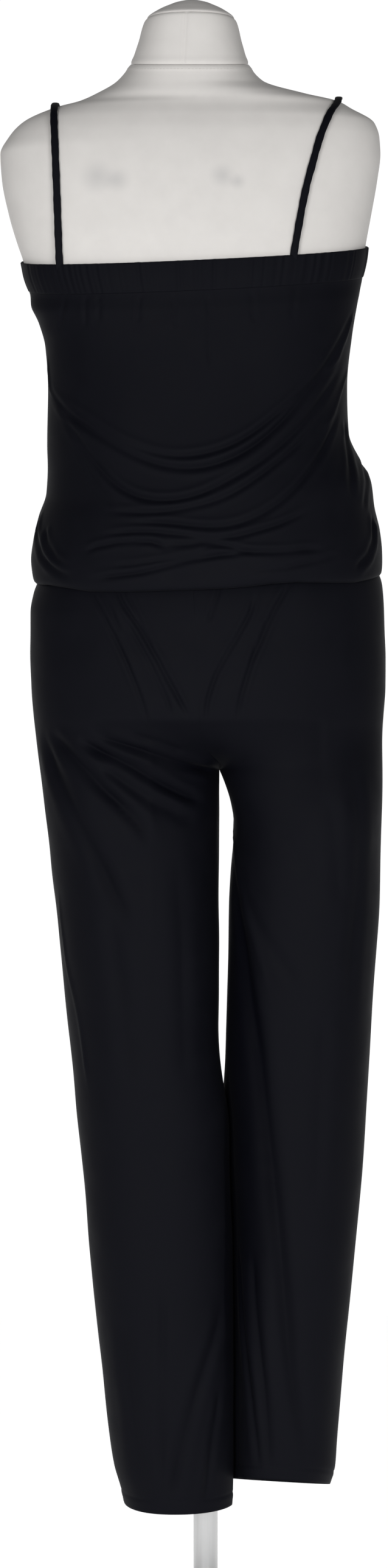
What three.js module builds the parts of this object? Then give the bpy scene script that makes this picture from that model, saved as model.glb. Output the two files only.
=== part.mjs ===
// A strapless-cut jumpsuit with two narrow straps, worn by a limbless dress form on a pole and a round base.
// Millimetres, +Z up. The garment's front faces -Y and the wearer's left is +X.
// The origin is on the floor, on the pole's axis.
import * as THREE from 'three';

// Driving dimensions of the cloth.
const JERSEY = 1.4;
const BAND_CLOTH = 2.2;
const BAND_HEIGHT = 31;
const SEAM_GAP = 0.3;
const LAP_GAP = 1;
const STRAP_WIDTH = 7.5;
const STRAP_THICKNESS = 3.5;
const STRAP_CLEARANCE = 1.7;
const STRAP_END_GAP = 1.8;
const BAND_CLEARANCE = 1;

// The band's top edge lies in one plane that falls to the back and to the wearer's left.
const BAND_TOP = 1432.6;
const FALL_TO_LEFT = 0.045;
const FALL_TO_BACK = 0.164;

// The elastic seam at the hip, the crotch, and the two hems.
const HIP_SEAM = 1127;
const RISE_END = 952;
const CROTCH = 900;
const LEG_SHAPE_START = 950;
const LEG_SHAPE_END = 800;
const CROTCH_FULLNESS = 8;
const LEFT_HEM = 144;
const RIGHT_HEM = 163;
const RIGHT_HEM_TO_BACK = 0.26;
const RIGHT_HEM_TO_LEFT = 0.06;
const HEM_TILT_START = 420;

// Driving dimensions of the form and its stand.
const SQUARENESS = 2.3;
const BUST_HEIGHT = 1372;
const BUST_APART = 82;
const BUST_RADIUS = 48;
const BUST_DEPTH = 18;
const BUST_TO_LEFT = 10;
const FORM_BOTTOM = 945;
const NECK_SEAM = 1629;
const CAP_EDGE = 1674;
const CAP_TOP = 1694;
const CAP_MIDDLE = [14, 6, CAP_TOP];
const SHOULDER_FOOT = 1560;
const POLE_RADIUS = 12.5;
const BASE_RADIUS = 160;
const BASE_THICKNESS = 8;
const COLLAR_RADIUS = 20;
const COLLAR_TOP = 46;
const SOCKET_FLOOR = 3;

// How cloth folds: the waves and the fading of one fold, and where folds and bust fade out along the bodice.
const FOLD_WAVES = 1.9;
const FOLD_FADE = 0.8;
const FOLD_END_SHARE = 0.2;
const FOLD_STEPS = 16;
const CLOTH_BUST_FALL = 110;
const BUST_FADE = [120, 240];
const FOLDS_START = [2, 16];
const FOLDS_END = [285, 305];
const FOLDS_BESIDE_SIDE_SEAM = [0.02, 0.3];
const BAND_HOLDS = 18;

// How the parting of the two trouser halves and their hems shape the cloth near them.
const SEAM_HALF = 0.5;
const CROTCH_SHARE = 0.6;
const LEG_FOLDS_START = [4, 30];
const LEG_FOLDS_END = 30;
const LEG_FOLDS_FACING = [0.1, 0.5];

// Steps of the sampling that spaces points evenly and finds the direction square to a surface.
const ROW_STEPS = 240;
const TURN_STEP = 0.004;
const DROP_STEP = 0.25;
const SETTLING_ROUNDS = 6;

const jersey = new THREE.MeshStandardMaterial({ color: 0x15171c, roughness: 0.82, metalness: 0 });
const cover = new THREE.MeshStandardMaterial({ color: 0xdad6d2, roughness: 0.92, metalness: 0 });
const steel = new THREE.MeshStandardMaterial({ color: 0xb4b7ba, roughness: 0.35, metalness: 0.8 });

// Each table has named columns, a row for each section or fold.
const table = (columns, rows) => rows.map(
  (row) => Object.fromEntries(columns.map((name, place) => [name, row[place]])));

// The form's cross-sections. The lean drops a section towards the back.
const FORM = table(['height', 'left', 'right', 'back', 'front', 'lean'], [
  [945, 163, 168, 104, 84, 0],
  [949, 169, 174, 109, 89, 0],
  [957, 171, 176, 112, 92, 0],
  [1020, 174, 179, 117, 98, 0],
  [1090, 166, 168, 106, 97, 0],
  [1150, 147, 143, 90, 93, 0],
  [1215, 131, 123, 80, 88, 0],
  [1290, 142, 128, 86, 96, 0],
  [1350, 161, 140, 94, 104, 0],
  [1405, 184, 159, 98, 98, 0],
  [1424, 188.5, 163, 98.5, 96, 0],
  [1443, 195, 166, 99, 92, 0],
  [1470, 203, 171, 98, 84, 0],
  [1510, 211, 178, 94, 72, 0],
  [1535, 212.5, 181, 89, 61, 0],
  [1552, 204, 180, 84, 54, 0],
  [1567, 190, 175, 77, 46, 0],
  [1582, 158, 151, 69, 38, 0.02],
  [1589, 133, 139, 66.5, 37, 0.04],
  [1597, 115, 106, 65, 37, 0.06],
  [1612, 91, 59, 62, 40, 0.13],
  [1629, 78, 45, 60, 42, 0.165],
  [1650, 70, 38, 58, 44, 0.08],
  [1674, 62, 31, 55, 44, 0],
  [1683, 50, 20, 42, 30, 0],
  [1690, 35, 6, 27, 15, 0],
]);

// The hip of the trousers, at the middle of the cloth's thickness.
const HIP = table(['height', 'left', 'right', 'back', 'front', 'tilt'], [
  [815, 160, 180.3, 100, 94, 0],
  [860, 165, 181, 103.5, 96, 0],
  [900, 170.3, 181.6, 106, 98, 0],
  [925, 173.8, 182, 108.5, 99, 0],
  [942, 175.8, 182.8, 111.5, 100, 0],
  [955, 177.3, 183.8, 115.3, 101, 0],
  [985, 180, 186, 118.6, 101.8, 0],
  [1015, 181, 186.3, 120.4, 102, 0.05],
  [1040, 180.5, 185.3, 119.4, 101.8, 0.17],
  [1065, 180.3, 184.3, 116.4, 101.4, 0.36],
  [1085, 177, 180.5, 112.4, 100.9, 0.5],
  [1100, 171.4, 171.4, 109, 100.4, 0.56],
  [1112, 166, 164.6, 105.9, 99.4, 0.57],
  [1127, 160.6, 157.4, 101.8, 97.8, 0.57],
]);

// The legs, at the middle of the cloth's thickness. Outer and inner are X places.
const LEG_COLUMNS = ['height', 'outer', 'inner', 'back', 'front'];
const LEFT_LEG = table(LEG_COLUMNS, [
  [130, 82, -24, 62, 60],
  [158, 87.5, -23.8, 63, 61],
  [183, 94.3, -23.6, 65, 63],
  [259, 104.3, -22.4, 67.5, 66],
  [335, 112.3, -20.8, 71, 69.5],
  [410, 120.3, -19.5, 74.5, 73],
  [486, 126.3, -18.2, 79, 77],
  [536, 131.5, -17.3, 82, 79.5],
  [587, 136.8, -14.4, 85, 82],
  [637, 142.3, -14.1, 87.5, 84],
  [713, 149.3, -14.1, 92.5, 88.5],
  [788, 157.3, -14.1, 97.5, 92],
  [839, 162.3, -14.1, 101, 94],
  [914, 172.3, -14.1, 106, 96],
  [1000, 181, -14.1, 114, 98],
]);
const RIGHT_LEG = table(LEG_COLUMNS, [
  [130, -122, -26.2, 58, 60],
  [158, -127.3, -26, 59.5, 61],
  [183, -133.8, -25.8, 62, 63],
  [209, -135.5, -25.5, 63.5, 64],
  [284, -142.3, -24.2, 67.5, 67.5],
  [360, -149.3, -22.6, 72, 71],
  [435, -157.3, -21.3, 76, 74.5],
  [511, -163.3, -19.9, 80.5, 78],
  [536, -165, -19.5, 82, 79],
  [587, -168.3, -20.1, 85, 81.5],
  [662, -173.3, -21.5, 89, 85],
  [713, -176.6, -23.3, 92.5, 88],
  [763, -179.3, -23.9, 96, 90.5],
  [813, -180.3, -24.9, 99, 92.5],
  [839, -180.7, -24.3, 101, 93.5],
  [866, -181, -20.6, 103, 94.5],
  [889, -181.3, -17.2, 104.5, 95.3],
  [905, -181.8, -16.1, 105.8, 96],
  [1000, -186, -16.1, 114, 98],
]);

// The X place of the centre seam at the back and the front of the hip.
const CENTRE_SEAM = table(['height', 'back', 'front'], [
  [815, 3, 2],
  [900, 3, 2],
  [950, 6, 3],
  [1030, 10, 3],
  [1127, 14, 3],
]);

// The blouson. Down is measured along the cloth from the band's seam, over the fold and back up to the hip.
const lapped = (height) => {
  const hip = sectionsOf(HIP)(height);
  const lap = JERSEY + LAP_GAP;
  return [height, hip.left + lap, hip.right + lap, hip.back + lap, hip.front + lap, hip.tilt];
};
const bodiceTable = () => table(['down', 'height', 'left', 'right', 'back', 'front', 'tilt'], [
  [0, 1401.3, 187, 163, 100, 101, 1],
  [13, 1388, 182.3, 159.3, 99.6, 104, 0.98],
  [33, 1368, 174.3, 155.3, 99.8, 108.5, 0.96],
  [58, 1343, 167.3, 151.3, 100.5, 111.5, 0.93],
  [109, 1292, 163.3, 146.3, 103.5, 115, 0.88],
  [159, 1242, 163.3, 149.3, 109, 116.5, 0.8],
  [184, 1217, 162.3, 159.3, 112.6, 117, 0.77],
  [210, 1191, 163.6, 170.3, 117, 118, 0.73],
  [235, 1166, 172.3, 173.6, 121.6, 119, 0.68],
  [260, 1141, 177.6, 180.3, 126, 120, 0.63],
  [280, 1121, 180.3, 181.4, 128.2, 120.6, 0.6],
  [294, 1107.5, 181.8, 182.5, 127, 119.6, 0.58],
  [302, 1100, 181.2, 182.1, 124.4, 117.2, 0.57],
  [307, 1097.4, 179.6, 180.7, 120.6, 113.6, 0.57],
  [312, 1099.6, 177.6, 178.8, 116.6, 109.6, 0.57],
  [321, 1106.4, 173.6, 174.4, 111.6, 105, 0.57],
  [328, ...lapped(1112)],
  [343, ...lapped(1126)],
]);

// Folds are soft troughs: the X and Z of the two ends and of the point that the curve is drawn towards.
const FOLD_COLUMNS = ['fromX', 'fromZ', 'midX', 'midZ', 'toX', 'toZ', 'depth', 'width'];
const BODICE_BACK_FOLDS = table(FOLD_COLUMNS, [
  [160, 1318, 24, 1150, -148, 1352, 4.4, 13],
  [158, 1288, 30, 1138, -144, 1306, 4.6, 13],
  [150, 1246, 34, 1112, -140, 1282, 4.2, 13],
  [136, 1196, 14, 1122, -130, 1252, 3.6, 12],
  [88, 1148, -26, 1112, -138, 1256, 3.2, 12],
  [110, 1124, 69, 1136, 20, 1132, 2, 9],
  [34, 1112, -4, 1130, -46, 1124, 1.8, 9],
  [110, 1098, 5, 1120, -110, 1122, 1.8, 9],
  [-76, 1131, -101, 1143, -122, 1142, 1.6, 9],
  [168, 1156, 160, 1114, 128, 1096, 2, 9],
  [-120, 1122, -148, 1128, -172, 1166, 2, 9],
  [-128, 1160, -150, 1176, -164, 1210, 2, 10],
]);
const BODICE_FRONT_FOLDS = table(FOLD_COLUMNS, [
  [150, 1296, 40, 1190, -132, 1312, 2.6, 14],
  [146, 1250, 10, 1150, -138, 1264, 2.8, 14],
  [120, 1200, -20, 1130, -130, 1220, 2.4, 13],
  [90, 1140, 0, 1122, -110, 1150, 2, 12],
  [60, 1400, 56, 1360, 48, 1310, 1.6, 12],
  [-52, 1402, -48, 1366, -40, 1322, 1.6, 12],
]);
const SEAT_FOLDS = table(FOLD_COLUMNS, [
  [90, 1078, 52, 1016, 11, 950, 1.5, 8],
  [100, 1072, 76, 1026, 52, 992, 1.2, 8],
  [-76, 1078, -48, 1024, -30, 962, 1.5, 8],
  [-44, 1060, -12, 1010, -2, 952, 1.2, 8],
]);
const LEFT_LEG_FOLDS = table(FOLD_COLUMNS, [
  [152, 928, 118, 822, 68, 730, 2.6, 11],
  [134, 928, 100, 880, 62, 812, 2.6, 11],
  [122, 932, 74, 890, 22, 838, 2.4, 10],
  [106, 934, 50, 902, -6, 870, 2.2, 10],
  [145, 756, 134, 700, 118, 628, 2, 11],
  [0, 330, 12, 262, 28, 180, 2.2, 10],
  [44, 372, 45, 280, 45, 176, 1.2, 9],
]);
const RIGHT_LEG_FOLDS = table(FOLD_COLUMNS, [
  [-34, 780, -54, 674, -70, 540, 2.8, 11],
  [-60, 756, -86, 698, -98, 640, 2.2, 10],
  [-160, 884, -153, 770, -142, 650, 2, 10],
  [-62, 590, -72, 476, -80, 350, 2.2, 11],
  [-40, 400, -48, 300, -56, 192, 2.4, 10],
  [-77, 352, -86, 277, -104, 200, 2.2, 10],
]);
const FRONT_LEG_FOLDS = table(FOLD_COLUMNS, [
  [40, 930, 66, 850, 92, 740, 2, 12],
  [-44, 920, -76, 830, -104, 720, 2, 12],
  [70, 560, 62, 430, 44, 250, 2, 12],
  [-96, 590, -90, 450, -76, 260, 2, 12],
]);

// The gathers that the elastic draws in, as X places along the band.
const BAND_GATHERS = table(['x', 'depth', 'reach'], [
  [132, 0.7, 4],
  [122, 0.8, 4],
  [112, 0.7, 4],
  [68, 1, 5],
  [28, 0.8, 5],
  [9, 0.8, 5],
  [-8, 0.7, 5],
]);

// The straps' routes from the back of the band to the front. A top's height is worked out from the shoulder.
const STRAP_COLUMNS = ['side', 'height', 'x'];
const LEFT_STRAP = table(STRAP_COLUMNS, [
  ['back', 1494, 150],
  ['back', 1545, 152.5],
  ['back', 1568, 154],
  ['back', 1578, 154],
  ['top', 0, 154],
  ['front', 1578, 152],
  ['front', 1566, 149],
  ['front', 1540, 140],
  ['front', 1500, 121],
]);
const LEFT_STRAP_ENDS = { back: 147, front: 100 };
const RIGHT_STRAP = table(STRAP_COLUMNS, [
  ['back', 1470, -96],
  ['back', 1494, -101],
  ['back', 1544, -115],
  ['back', 1568, -125],
  ['back', 1580, -133],
  ['top', 0, -137],
  ['front', 1580, -134],
  ['front', 1566, -129],
  ['front', 1540, -119],
  ['front', 1500, -104],
]);
const RIGHT_STRAP_ENDS = { back: -88, front: -86 };

// Interpolation and easing.
const mix = (from, to, share) => from + (to - from) * share;
const ease = (from, to, at) => {
  const share = Math.min(1, Math.max(0, (at - from) / (to - from)));
  return share * share * (3 - 2 * share);
};

// A smooth curve through one column of a table that never overshoots its rows.
function track(rows, along, column) {
  const at = rows.map((row) => row[along]);
  const value = rows.map((row) => row[column]);
  const last = at.length - 1;
  const slope = at.slice(1).map((place, i) => (value[i + 1] - value[i]) / (place - at[i]));
  const tangent = at.map((place, i) => {
    if (i === 0) return slope[0];
    if (i === last) return slope[last - 1];
    if (slope[i - 1] * slope[i] <= 0) return 0;
    const before = at[i] - at[i - 1];
    const after = at[i + 1] - at[i];
    const near = 2 * after + before;
    const far = after + 2 * before;
    return (near + far) / (near / slope[i - 1] + far / slope[i]);
  });
  return (place) => {
    const inside = Math.min(at[last], Math.max(at[0], place));
    let i = 0;
    while (i < last - 1 && inside > at[i + 1]) i += 1;
    const step = at[i + 1] - at[i];
    const t = (inside - at[i]) / step;
    const bend = t * t * (3 - 2 * t);
    return mix(value[i], value[i + 1], bend)
      + step * t * (1 - t) * ((1 - t) * tangent[i] - t * tangent[i + 1]);
  };
}

// All columns of a table as one function of its first column.
function sectionsOf(rows) {
  const [along, ...columns] = Object.keys(rows[0]);
  const tracks = columns.map((column) => [column, track(rows, along, column)]);
  return (place) => Object.fromEntries(tracks.map(([column, at]) => [column, at(place)]));
}

// A point of a rounded section. Angle 0 is the wearer's left and a quarter turn is the back.
function onSection(size, angle) {
  const across = (size.left + size.right) / 2;
  const depth = Math.sin(angle) >= 0 ? size.back : size.front;
  const power = 2 / SQUARENESS;
  const x = Math.sign(Math.cos(angle)) * Math.abs(Math.cos(angle)) ** power;
  const y = Math.sign(Math.sin(angle)) * Math.abs(Math.sin(angle)) ** power;
  return new THREE.Vector3((size.left - size.right) / 2 + across * x, depth * y, 0);
}

// The level direction square to a section at one angle.
function outwardOnSection(size, angle) {
  const across = (size.left + size.right) / 2;
  const depth = Math.sin(angle) >= 0 ? size.back : size.front;
  const power = 2 - 2 / SQUARENESS;
  return new THREE.Vector3(
    Math.sign(Math.cos(angle)) * Math.abs(Math.cos(angle)) ** power / across,
    Math.sign(Math.sin(angle)) * Math.abs(Math.sin(angle)) ** power / depth, 0).normalize();
}

// The angle at which a section has a given X.
function angleAt(size, x) {
  const across = (size.left + size.right) / 2;
  const share = Math.min(1, Math.max(-1, (x - (size.left - size.right) / 2) / across));
  return Math.acos(Math.sign(share) * Math.abs(share) ** (SQUARENESS / 2));
}

// How far the bust stands out in front, with a slower fall below it where cloth hangs from it.
function bust(x, height, fallBelow) {
  const drop = height - BUST_HEIGHT;
  const radius = drop < 0 ? fallBelow : BUST_RADIUS;
  const level = Math.exp(-(drop * drop) / (2 * radius * radius));
  const across = [-1, 1].map((side) => {
    const offset = x - side * BUST_APART - BUST_TO_LEFT;
    return Math.exp(-(offset * offset) / (2 * BUST_RADIUS * BUST_RADIUS));
  });
  return BUST_DEPTH * level * (across[0] + across[1]);
}

// The depth of the folds at one place, as a trough with low ridges beside it.
function foldDepth(folds, x, z) {
  let total = 0;
  for (const fold of folds) {
    let nearest = Infinity;
    let along = 0;
    for (let step = 0; step <= FOLD_STEPS; step += 1) {
      const t = step / FOLD_STEPS;
      const curveX = mix(mix(fold.fromX, fold.midX, t), mix(fold.midX, fold.toX, t), t);
      const curveZ = mix(mix(fold.fromZ, fold.midZ, t), mix(fold.midZ, fold.toZ, t), t);
      const distance = Math.hypot(x - curveX, z - curveZ);
      if (distance < nearest) {
        nearest = distance;
        along = t;
      }
    }
    const reach = nearest / fold.width;
    const ends = ease(0, FOLD_END_SHARE, along) * ease(0, FOLD_END_SHARE, 1 - along);
    total += fold.depth * ends * Math.cos(FOLD_WAVES * reach) * Math.exp(-FOLD_FADE * reach * reach);
  }
  return total;
}

const formSize = sectionsOf(FORM);
const hipSize = sectionsOf(HIP);
const bodiceSize = sectionsOf(bodiceTable());
const centreSeam = sectionsOf(CENTRE_SEAM);
const leftLegSize = sectionsOf(LEFT_LEG);
const rightLegSize = sectionsOf(RIGHT_LEG);

// The form's surface.
function formPoint(height, angle) {
  const size = formSize(height);
  const point = onSection(size, angle);
  const facing = Math.max(0, -Math.sin(angle));
  point.y -= facing * bust(point.x, height, BUST_RADIUS);
  point.z = height - size.lean * point.y;
  return point;
}

// The direction square to a surface, from small steps to each side.
function squareTo(surface, down, around, limits) {
  const above = Math.max(limits[0], down - DROP_STEP);
  const below = Math.min(limits[1], down + DROP_STEP);
  const level = surface(down, around + TURN_STEP).sub(surface(down, around - TURN_STEP));
  const fall = surface(below, around).sub(surface(above, around));
  return fall.cross(level).normalize();
}

// The band follows the form at a small clearance, between the seam and its top edge.
function bandPoint(below, angle) {
  let height = BAND_TOP;
  let point = new THREE.Vector3();
  for (let round = 0; round < SETTLING_ROUNDS; round += 1) {
    point = formPoint(height, angle);
    height = BAND_TOP - below - FALL_TO_LEFT * point.x - FALL_TO_BACK * point.y;
  }
  const clear = BAND_CLEARANCE + BAND_CLOTH / 2;
  const outward = outwardOnSection(formSize(height), angle);
  point.addScaledVector(outward, clear);
  point.z = height;
  return point;
}

function gatheredBand(below, angle) {
  const point = bandPoint(below, angle);
  const back = ease(0, 0.5, Math.sin(angle));
  for (const gather of BAND_GATHERS) {
    const reach = (point.x - gather.x) / gather.reach;
    point.y += back * gather.depth * (Math.exp(-((reach - 1.6) ** 2)) - 0.25 * Math.exp(-reach * reach));
  }
  return point;
}

// The bodice hangs from the band, blouses over the hip and returns inside itself to the elastic seam.
function bodicePoint(down, angle) {
  const size = bodiceSize(down);
  const point = onSection(size, angle);
  const outward = outwardOnSection(size, angle);
  const facing = Math.max(0, -Math.sin(angle));
  const pouch = 1 - ease(...FOLDS_END, down);
  point.y -= facing * pouch * bust(point.x, size.height, CLOTH_BUST_FALL) * (1 - ease(...BUST_FADE, down));
  point.z = size.height - size.tilt * (FALL_TO_LEFT * point.x + FALL_TO_BACK * point.y);
  const folds = Math.sin(angle) >= 0 ? BODICE_BACK_FOLDS : BODICE_FRONT_FOLDS;
  const sides = ease(...FOLDS_BESIDE_SIDE_SEAM, Math.abs(Math.sin(angle)));
  const trough = foldDepth(folds, point.x, point.z) * sides * pouch * ease(...FOLDS_START, down);
  point.addScaledVector(outward, -trough);
  const hung = ease(0, BAND_HOLDS, down);
  if (hung === 1) return point;
  return bandPoint(BAND_HEIGHT + SEAM_GAP + down, angle).lerp(point, hung);
}

// Where a row of a trouser half lies: straight down the hip, round the crotch, then down the leg.
const CROTCH_DROP = RISE_END - CROTCH;
const RISE = HIP_SEAM - RISE_END;
const CROTCH_TURN = CROTCH_DROP * Math.PI / 2;
function rowAt(down, share) {
  if (down < RISE) return { height: HIP_SEAM - down, turn: 0 };
  if (down > RISE + CROTCH_TURN) return { height: CROTCH - (down - RISE - CROTCH_TURN), turn: 1 };
  const bend = (down - RISE) / CROTCH_DROP;
  const atSeam = RISE_END - CROTCH_DROP * Math.sin(bend);
  const atSide = RISE_END - CROTCH_DROP * (down - RISE) / CROTCH_TURN;
  return { height: mix(atSide, atSeam, ease(SEAM_HALF, 1, share)), turn: 1 - Math.cos(bend) };
}

// The plane that parts the two halves at one row, as an X place.
function partingAt(down, side) {
  const { height, turn } = rowAt(down, 1);
  const legs = (leftLegSize(height).inner + rightLegSize(height).inner) / 2;
  return mix(centreSeam(height)[side], legs, ease(0, SEAM_HALF, turn));
}

// A trouser half. Across runs from 1 at the back seam through 0 at the side to -1 at the front seam.
function trouserPoint(half, down, across) {
  const share = Math.abs(across);
  const { height, turn } = rowAt(down, share);
  const back = across >= 0;
  const side = back ? 'back' : 'front';
  const ring = hipSize(height);
  const seam = centreSeam(height)[side];
  const seamAngle = angleAt(ring, seam);
  const hipAngle = half.left ? seamAngle * share : Math.PI - (Math.PI - seamAngle) * share;
  const legAngle = half.left ? Math.PI * share : Math.PI * (1 - share);
  const leg = half.size(height);
  const reach = { back: leg.back, front: leg.front };
  reach.left = half.left ? leg.outer : leg.inner;
  reach.right = half.left ? -leg.inner : -leg.outer;
  const sign = back ? 1 : -1;
  const wholeLeg = ease(LEG_SHAPE_START, LEG_SHAPE_END, height);
  const shape = mix(wholeLeg, turn, ease(CROTCH_SHARE, 1, share));
  const point = onSection(ring, sign * hipAngle).lerp(onSection(reach, sign * legAngle), shape);
  const outward = outwardOnSection(ring, sign * hipAngle).lerp(outwardOnSection(reach, sign * legAngle), shape);
  const wallToParting = (leftLegSize(height).inner - rightLegSize(height).inner) / 2 * (half.left ? 1 : -1);
  const wanted = partingAt(down, side) + wallToParting * turn;
  point.x += (wanted - mix(seam, leg.inner, turn)) * ease(SEAM_HALF, 1, share);
  point.z = height - ring.tilt * (FALL_TO_LEFT * point.x + FALL_TO_BACK * point.y);
  const fullness = CROTCH_FULLNESS * 4 * shape * (1 - shape) * Math.sin(Math.PI * share);
  point.addScaledVector(outward.normalize(), fullness);
  const facing = ease(...LEG_FOLDS_FACING, Math.abs(outward.y));
  const folds = back ? half.folds : FRONT_LEG_FOLDS;
  const fade = ease(...LEG_FOLDS_START, down) * (1 - ease(half.length - LEG_FOLDS_END, half.length, down));
  point.addScaledVector(outward, -foldDepth(folds, point.x, point.z) * facing * fade);
  const hem = ease(HEM_TILT_START, half.hem, height);
  point.z += hem * (half.toLeft * (point.x - half.middle) + half.toBack * point.y);
  return point;
}

// Places along one row at the asked shares of its length, with half a seam gap kept clear at each end.
function evenly(row, from, to, shares) {
  const lengths = [0];
  let before = row(from);
  for (let i = 1; i <= ROW_STEPS; i += 1) {
    const here = row(mix(from, to, i / ROW_STEPS));
    lengths.push(lengths[i - 1] + here.distanceTo(before));
    before = here;
  }
  const whole = lengths[ROW_STEPS];
  return shares.map((share) => {
    const wanted = mix(SEAM_GAP / 2, whole - SEAM_GAP / 2, share);
    let i = 0;
    while (i < ROW_STEPS - 1 && lengths[i + 1] < wanted) i += 1;
    const part = (wanted - lengths[i]) / (lengths[i + 1] - lengths[i]);
    return mix(from, to, (i + part) / ROW_STEPS);
  });
}

// A closed geometry with its faces pointing out.
function closedGeometry(points, faces) {
  let volume = 0;
  for (const [a, b, c] of faces) {
    volume += points[a].dot(new THREE.Vector3().crossVectors(points[b], points[c]));
  }
  const turned = volume < 0 ? faces.map(([a, b, c]) => [a, c, b]) : faces;
  const geometry = new THREE.BufferGeometry();
  const flat = points.flatMap((point) => [point.x, point.y, point.z]);
  geometry.setAttribute('position', new THREE.Float32BufferAttribute(flat, 3));
  geometry.setIndex(turned.flat());
  geometry.computeVertexNormals();
  return geometry;
}

// A cloth panel: an outer and an inner skin, one wall apart, joined by its four edges.
function clothPanel({ surface, rows, from, to, shares, thickness, turned = false, keep = (down, point) => point }) {
  const limits = [rows[0], rows[rows.length - 1]];
  const outer = [];
  const inner = [];
  for (const down of rows) {
    for (const around of evenly((place) => surface(down, place), from, to, shares)) {
      const middle = surface(down, around);
      const outward = squareTo(surface, down, around, limits);
      if (turned) outward.negate();
      outer.push(keep(down, middle.clone().addScaledVector(outward, thickness / 2)));
      inner.push(keep(down, middle.clone().addScaledVector(outward, -thickness / 2)));
    }
  }
  const across = shares.length;
  const bottom = rows.length - 1;
  const side = across - 1;
  const out = (row, place) => row * across + place;
  const into = (row, place) => outer.length + row * across + place;
  const faces = [];
  const quad = (a, b, c, d) => faces.push([a, b, c], [a, c, d]);
  for (let row = 0; row < bottom; row += 1) {
    for (let place = 0; place < side; place += 1) {
      quad(out(row, place), out(row + 1, place), out(row + 1, place + 1), out(row, place + 1));
      quad(into(row, place), into(row, place + 1), into(row + 1, place + 1), into(row + 1, place));
    }
    quad(out(row + 1, 0), out(row, 0), into(row, 0), into(row + 1, 0));
    quad(out(row, side), out(row + 1, side), into(row + 1, side), into(row, side));
  }
  for (let place = 0; place < side; place += 1) {
    quad(out(0, place), out(0, place + 1), into(0, place + 1), into(0, place));
    quad(out(bottom, place + 1), out(bottom, place), into(bottom, place), into(bottom, place + 1));
  }
  return closedGeometry([...outer, ...inner], faces);
}

// A solid skinned over rings, closed with a fan at each end.
function loft(rings) {
  const count = rings[0].length;
  const points = rings.flat();
  const faces = [];
  for (let ring = 0; ring < rings.length - 1; ring += 1) {
    for (let i = 0; i < count; i += 1) {
      const next = (i + 1) % count;
      const low = ring * count;
      const high = low + count;
      faces.push([low + i, low + next, high + next], [low + i, high + next, high + i]);
    }
  }
  const ends = [[rings[0], 0, false], [rings[rings.length - 1], points.length - count, true]];
  for (const [ring, start, up] of ends) {
    const middle = ring.reduce((sum, point) => sum.add(point), new THREE.Vector3()).divideScalar(count);
    points.push(middle);
    for (let i = 0; i < count; i += 1) {
      const next = (i + 1) % count;
      const pair = up ? [start + i, start + next] : [start + next, start + i];
      faces.push([points.length - 1, ...pair]);
    }
  }
  return closedGeometry(points, faces);
}

const spread = (from, to, steps) => Array.from({ length: steps + 1 }, (unused, i) => mix(from, to, i / steps));
const group = new THREE.Group();
function add(name, geometry, material) {
  const mesh = new THREE.Mesh(geometry, material);
  mesh.name = name;
  group.add(mesh);
}

// The form: torso, neck and domed cap.
const FORM_SIDES = 36;
const formAngles = spread(0, 2 * Math.PI, FORM_SIDES).slice(0, FORM_SIDES);
const formRing = (height) => formAngles.map((angle) => formPoint(height, angle));
const torsoHeights = [FORM_BOTTOM, 949, 957, 1000, 1045, 1090, 1150, 1215, 1280, 1330, 1372, 1405, 1424, 1443, 1475,
  1505, 1528, 1543, 1556, 1567, 1575, 1582, 1589, 1597, 1612, NECK_SEAM - SEAM_GAP / 2];
add('form_torso', loft(torsoHeights.map(formRing)), cover);
const neckHeights = [NECK_SEAM + SEAM_GAP / 2, 1642, 1658, CAP_EDGE - SEAM_GAP / 2];
add('form_neck', loft(neckHeights.map(formRing)), cover);
const capHeights = [CAP_EDGE + SEAM_GAP / 2, 1680, 1685, 1690];
const DOME_SHARES = [0.55, 0.91];
const domeMiddle = new THREE.Vector3(...CAP_MIDDLE);
const domeRings = DOME_SHARES.map((share) => formRing(1690).map((point) => point.lerp(domeMiddle, share)));
add('form_neck_cap', loft([...capHeights.map(formRing), ...domeRings]), cover);

// The stand: a pole in the socket of a round base.
const poleBottom = SOCKET_FLOOR + SEAM_GAP;
const poleTop = FORM_BOTTOM - SEAM_GAP;
const pole = new THREE.CylinderGeometry(POLE_RADIUS, POLE_RADIUS, poleTop - poleBottom, 32);
pole.rotateX(Math.PI / 2);
pole.translate(0, 0, (poleTop + poleBottom) / 2);
add('stand_pole', pole, steel);
const socket = POLE_RADIUS + SEAM_GAP;
const baseProfile = [
  [0, 0], [BASE_RADIUS - 2, 0], [BASE_RADIUS, 2], [BASE_RADIUS, BASE_THICKNESS - 3],
  [BASE_RADIUS - 3, BASE_THICKNESS], [COLLAR_RADIUS + 3, BASE_THICKNESS], [COLLAR_RADIUS, BASE_THICKNESS + 3],
  [COLLAR_RADIUS, COLLAR_TOP - 2], [COLLAR_RADIUS - 2, COLLAR_TOP], [socket, COLLAR_TOP],
  [socket, SOCKET_FLOOR], [0, SOCKET_FLOOR],
].map(([radius, height]) => new THREE.Vector2(radius, height));
const base = new THREE.LatheGeometry(baseProfile, 32);
base.rotateX(Math.PI / 2);
add('stand_base', base, steel);

// The elasticated band, with its columns set closer at the gathers of the back.
const bandRows = [0, BAND_HEIGHT / 2, BAND_HEIGHT];
const bandHalves = [
  { name: 'band_back', from: 0, to: Math.PI, surface: gatheredBand, columns: 56 },
  { name: 'band_front', from: Math.PI, to: 2 * Math.PI, surface: bandPoint, columns: 26 },
];
for (const half of bandHalves) {
  const shares = spread(0, 1, half.columns);
  add(half.name, clothPanel({ ...half, rows: bandRows, shares, thickness: BAND_CLOTH }), jersey);
}

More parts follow.
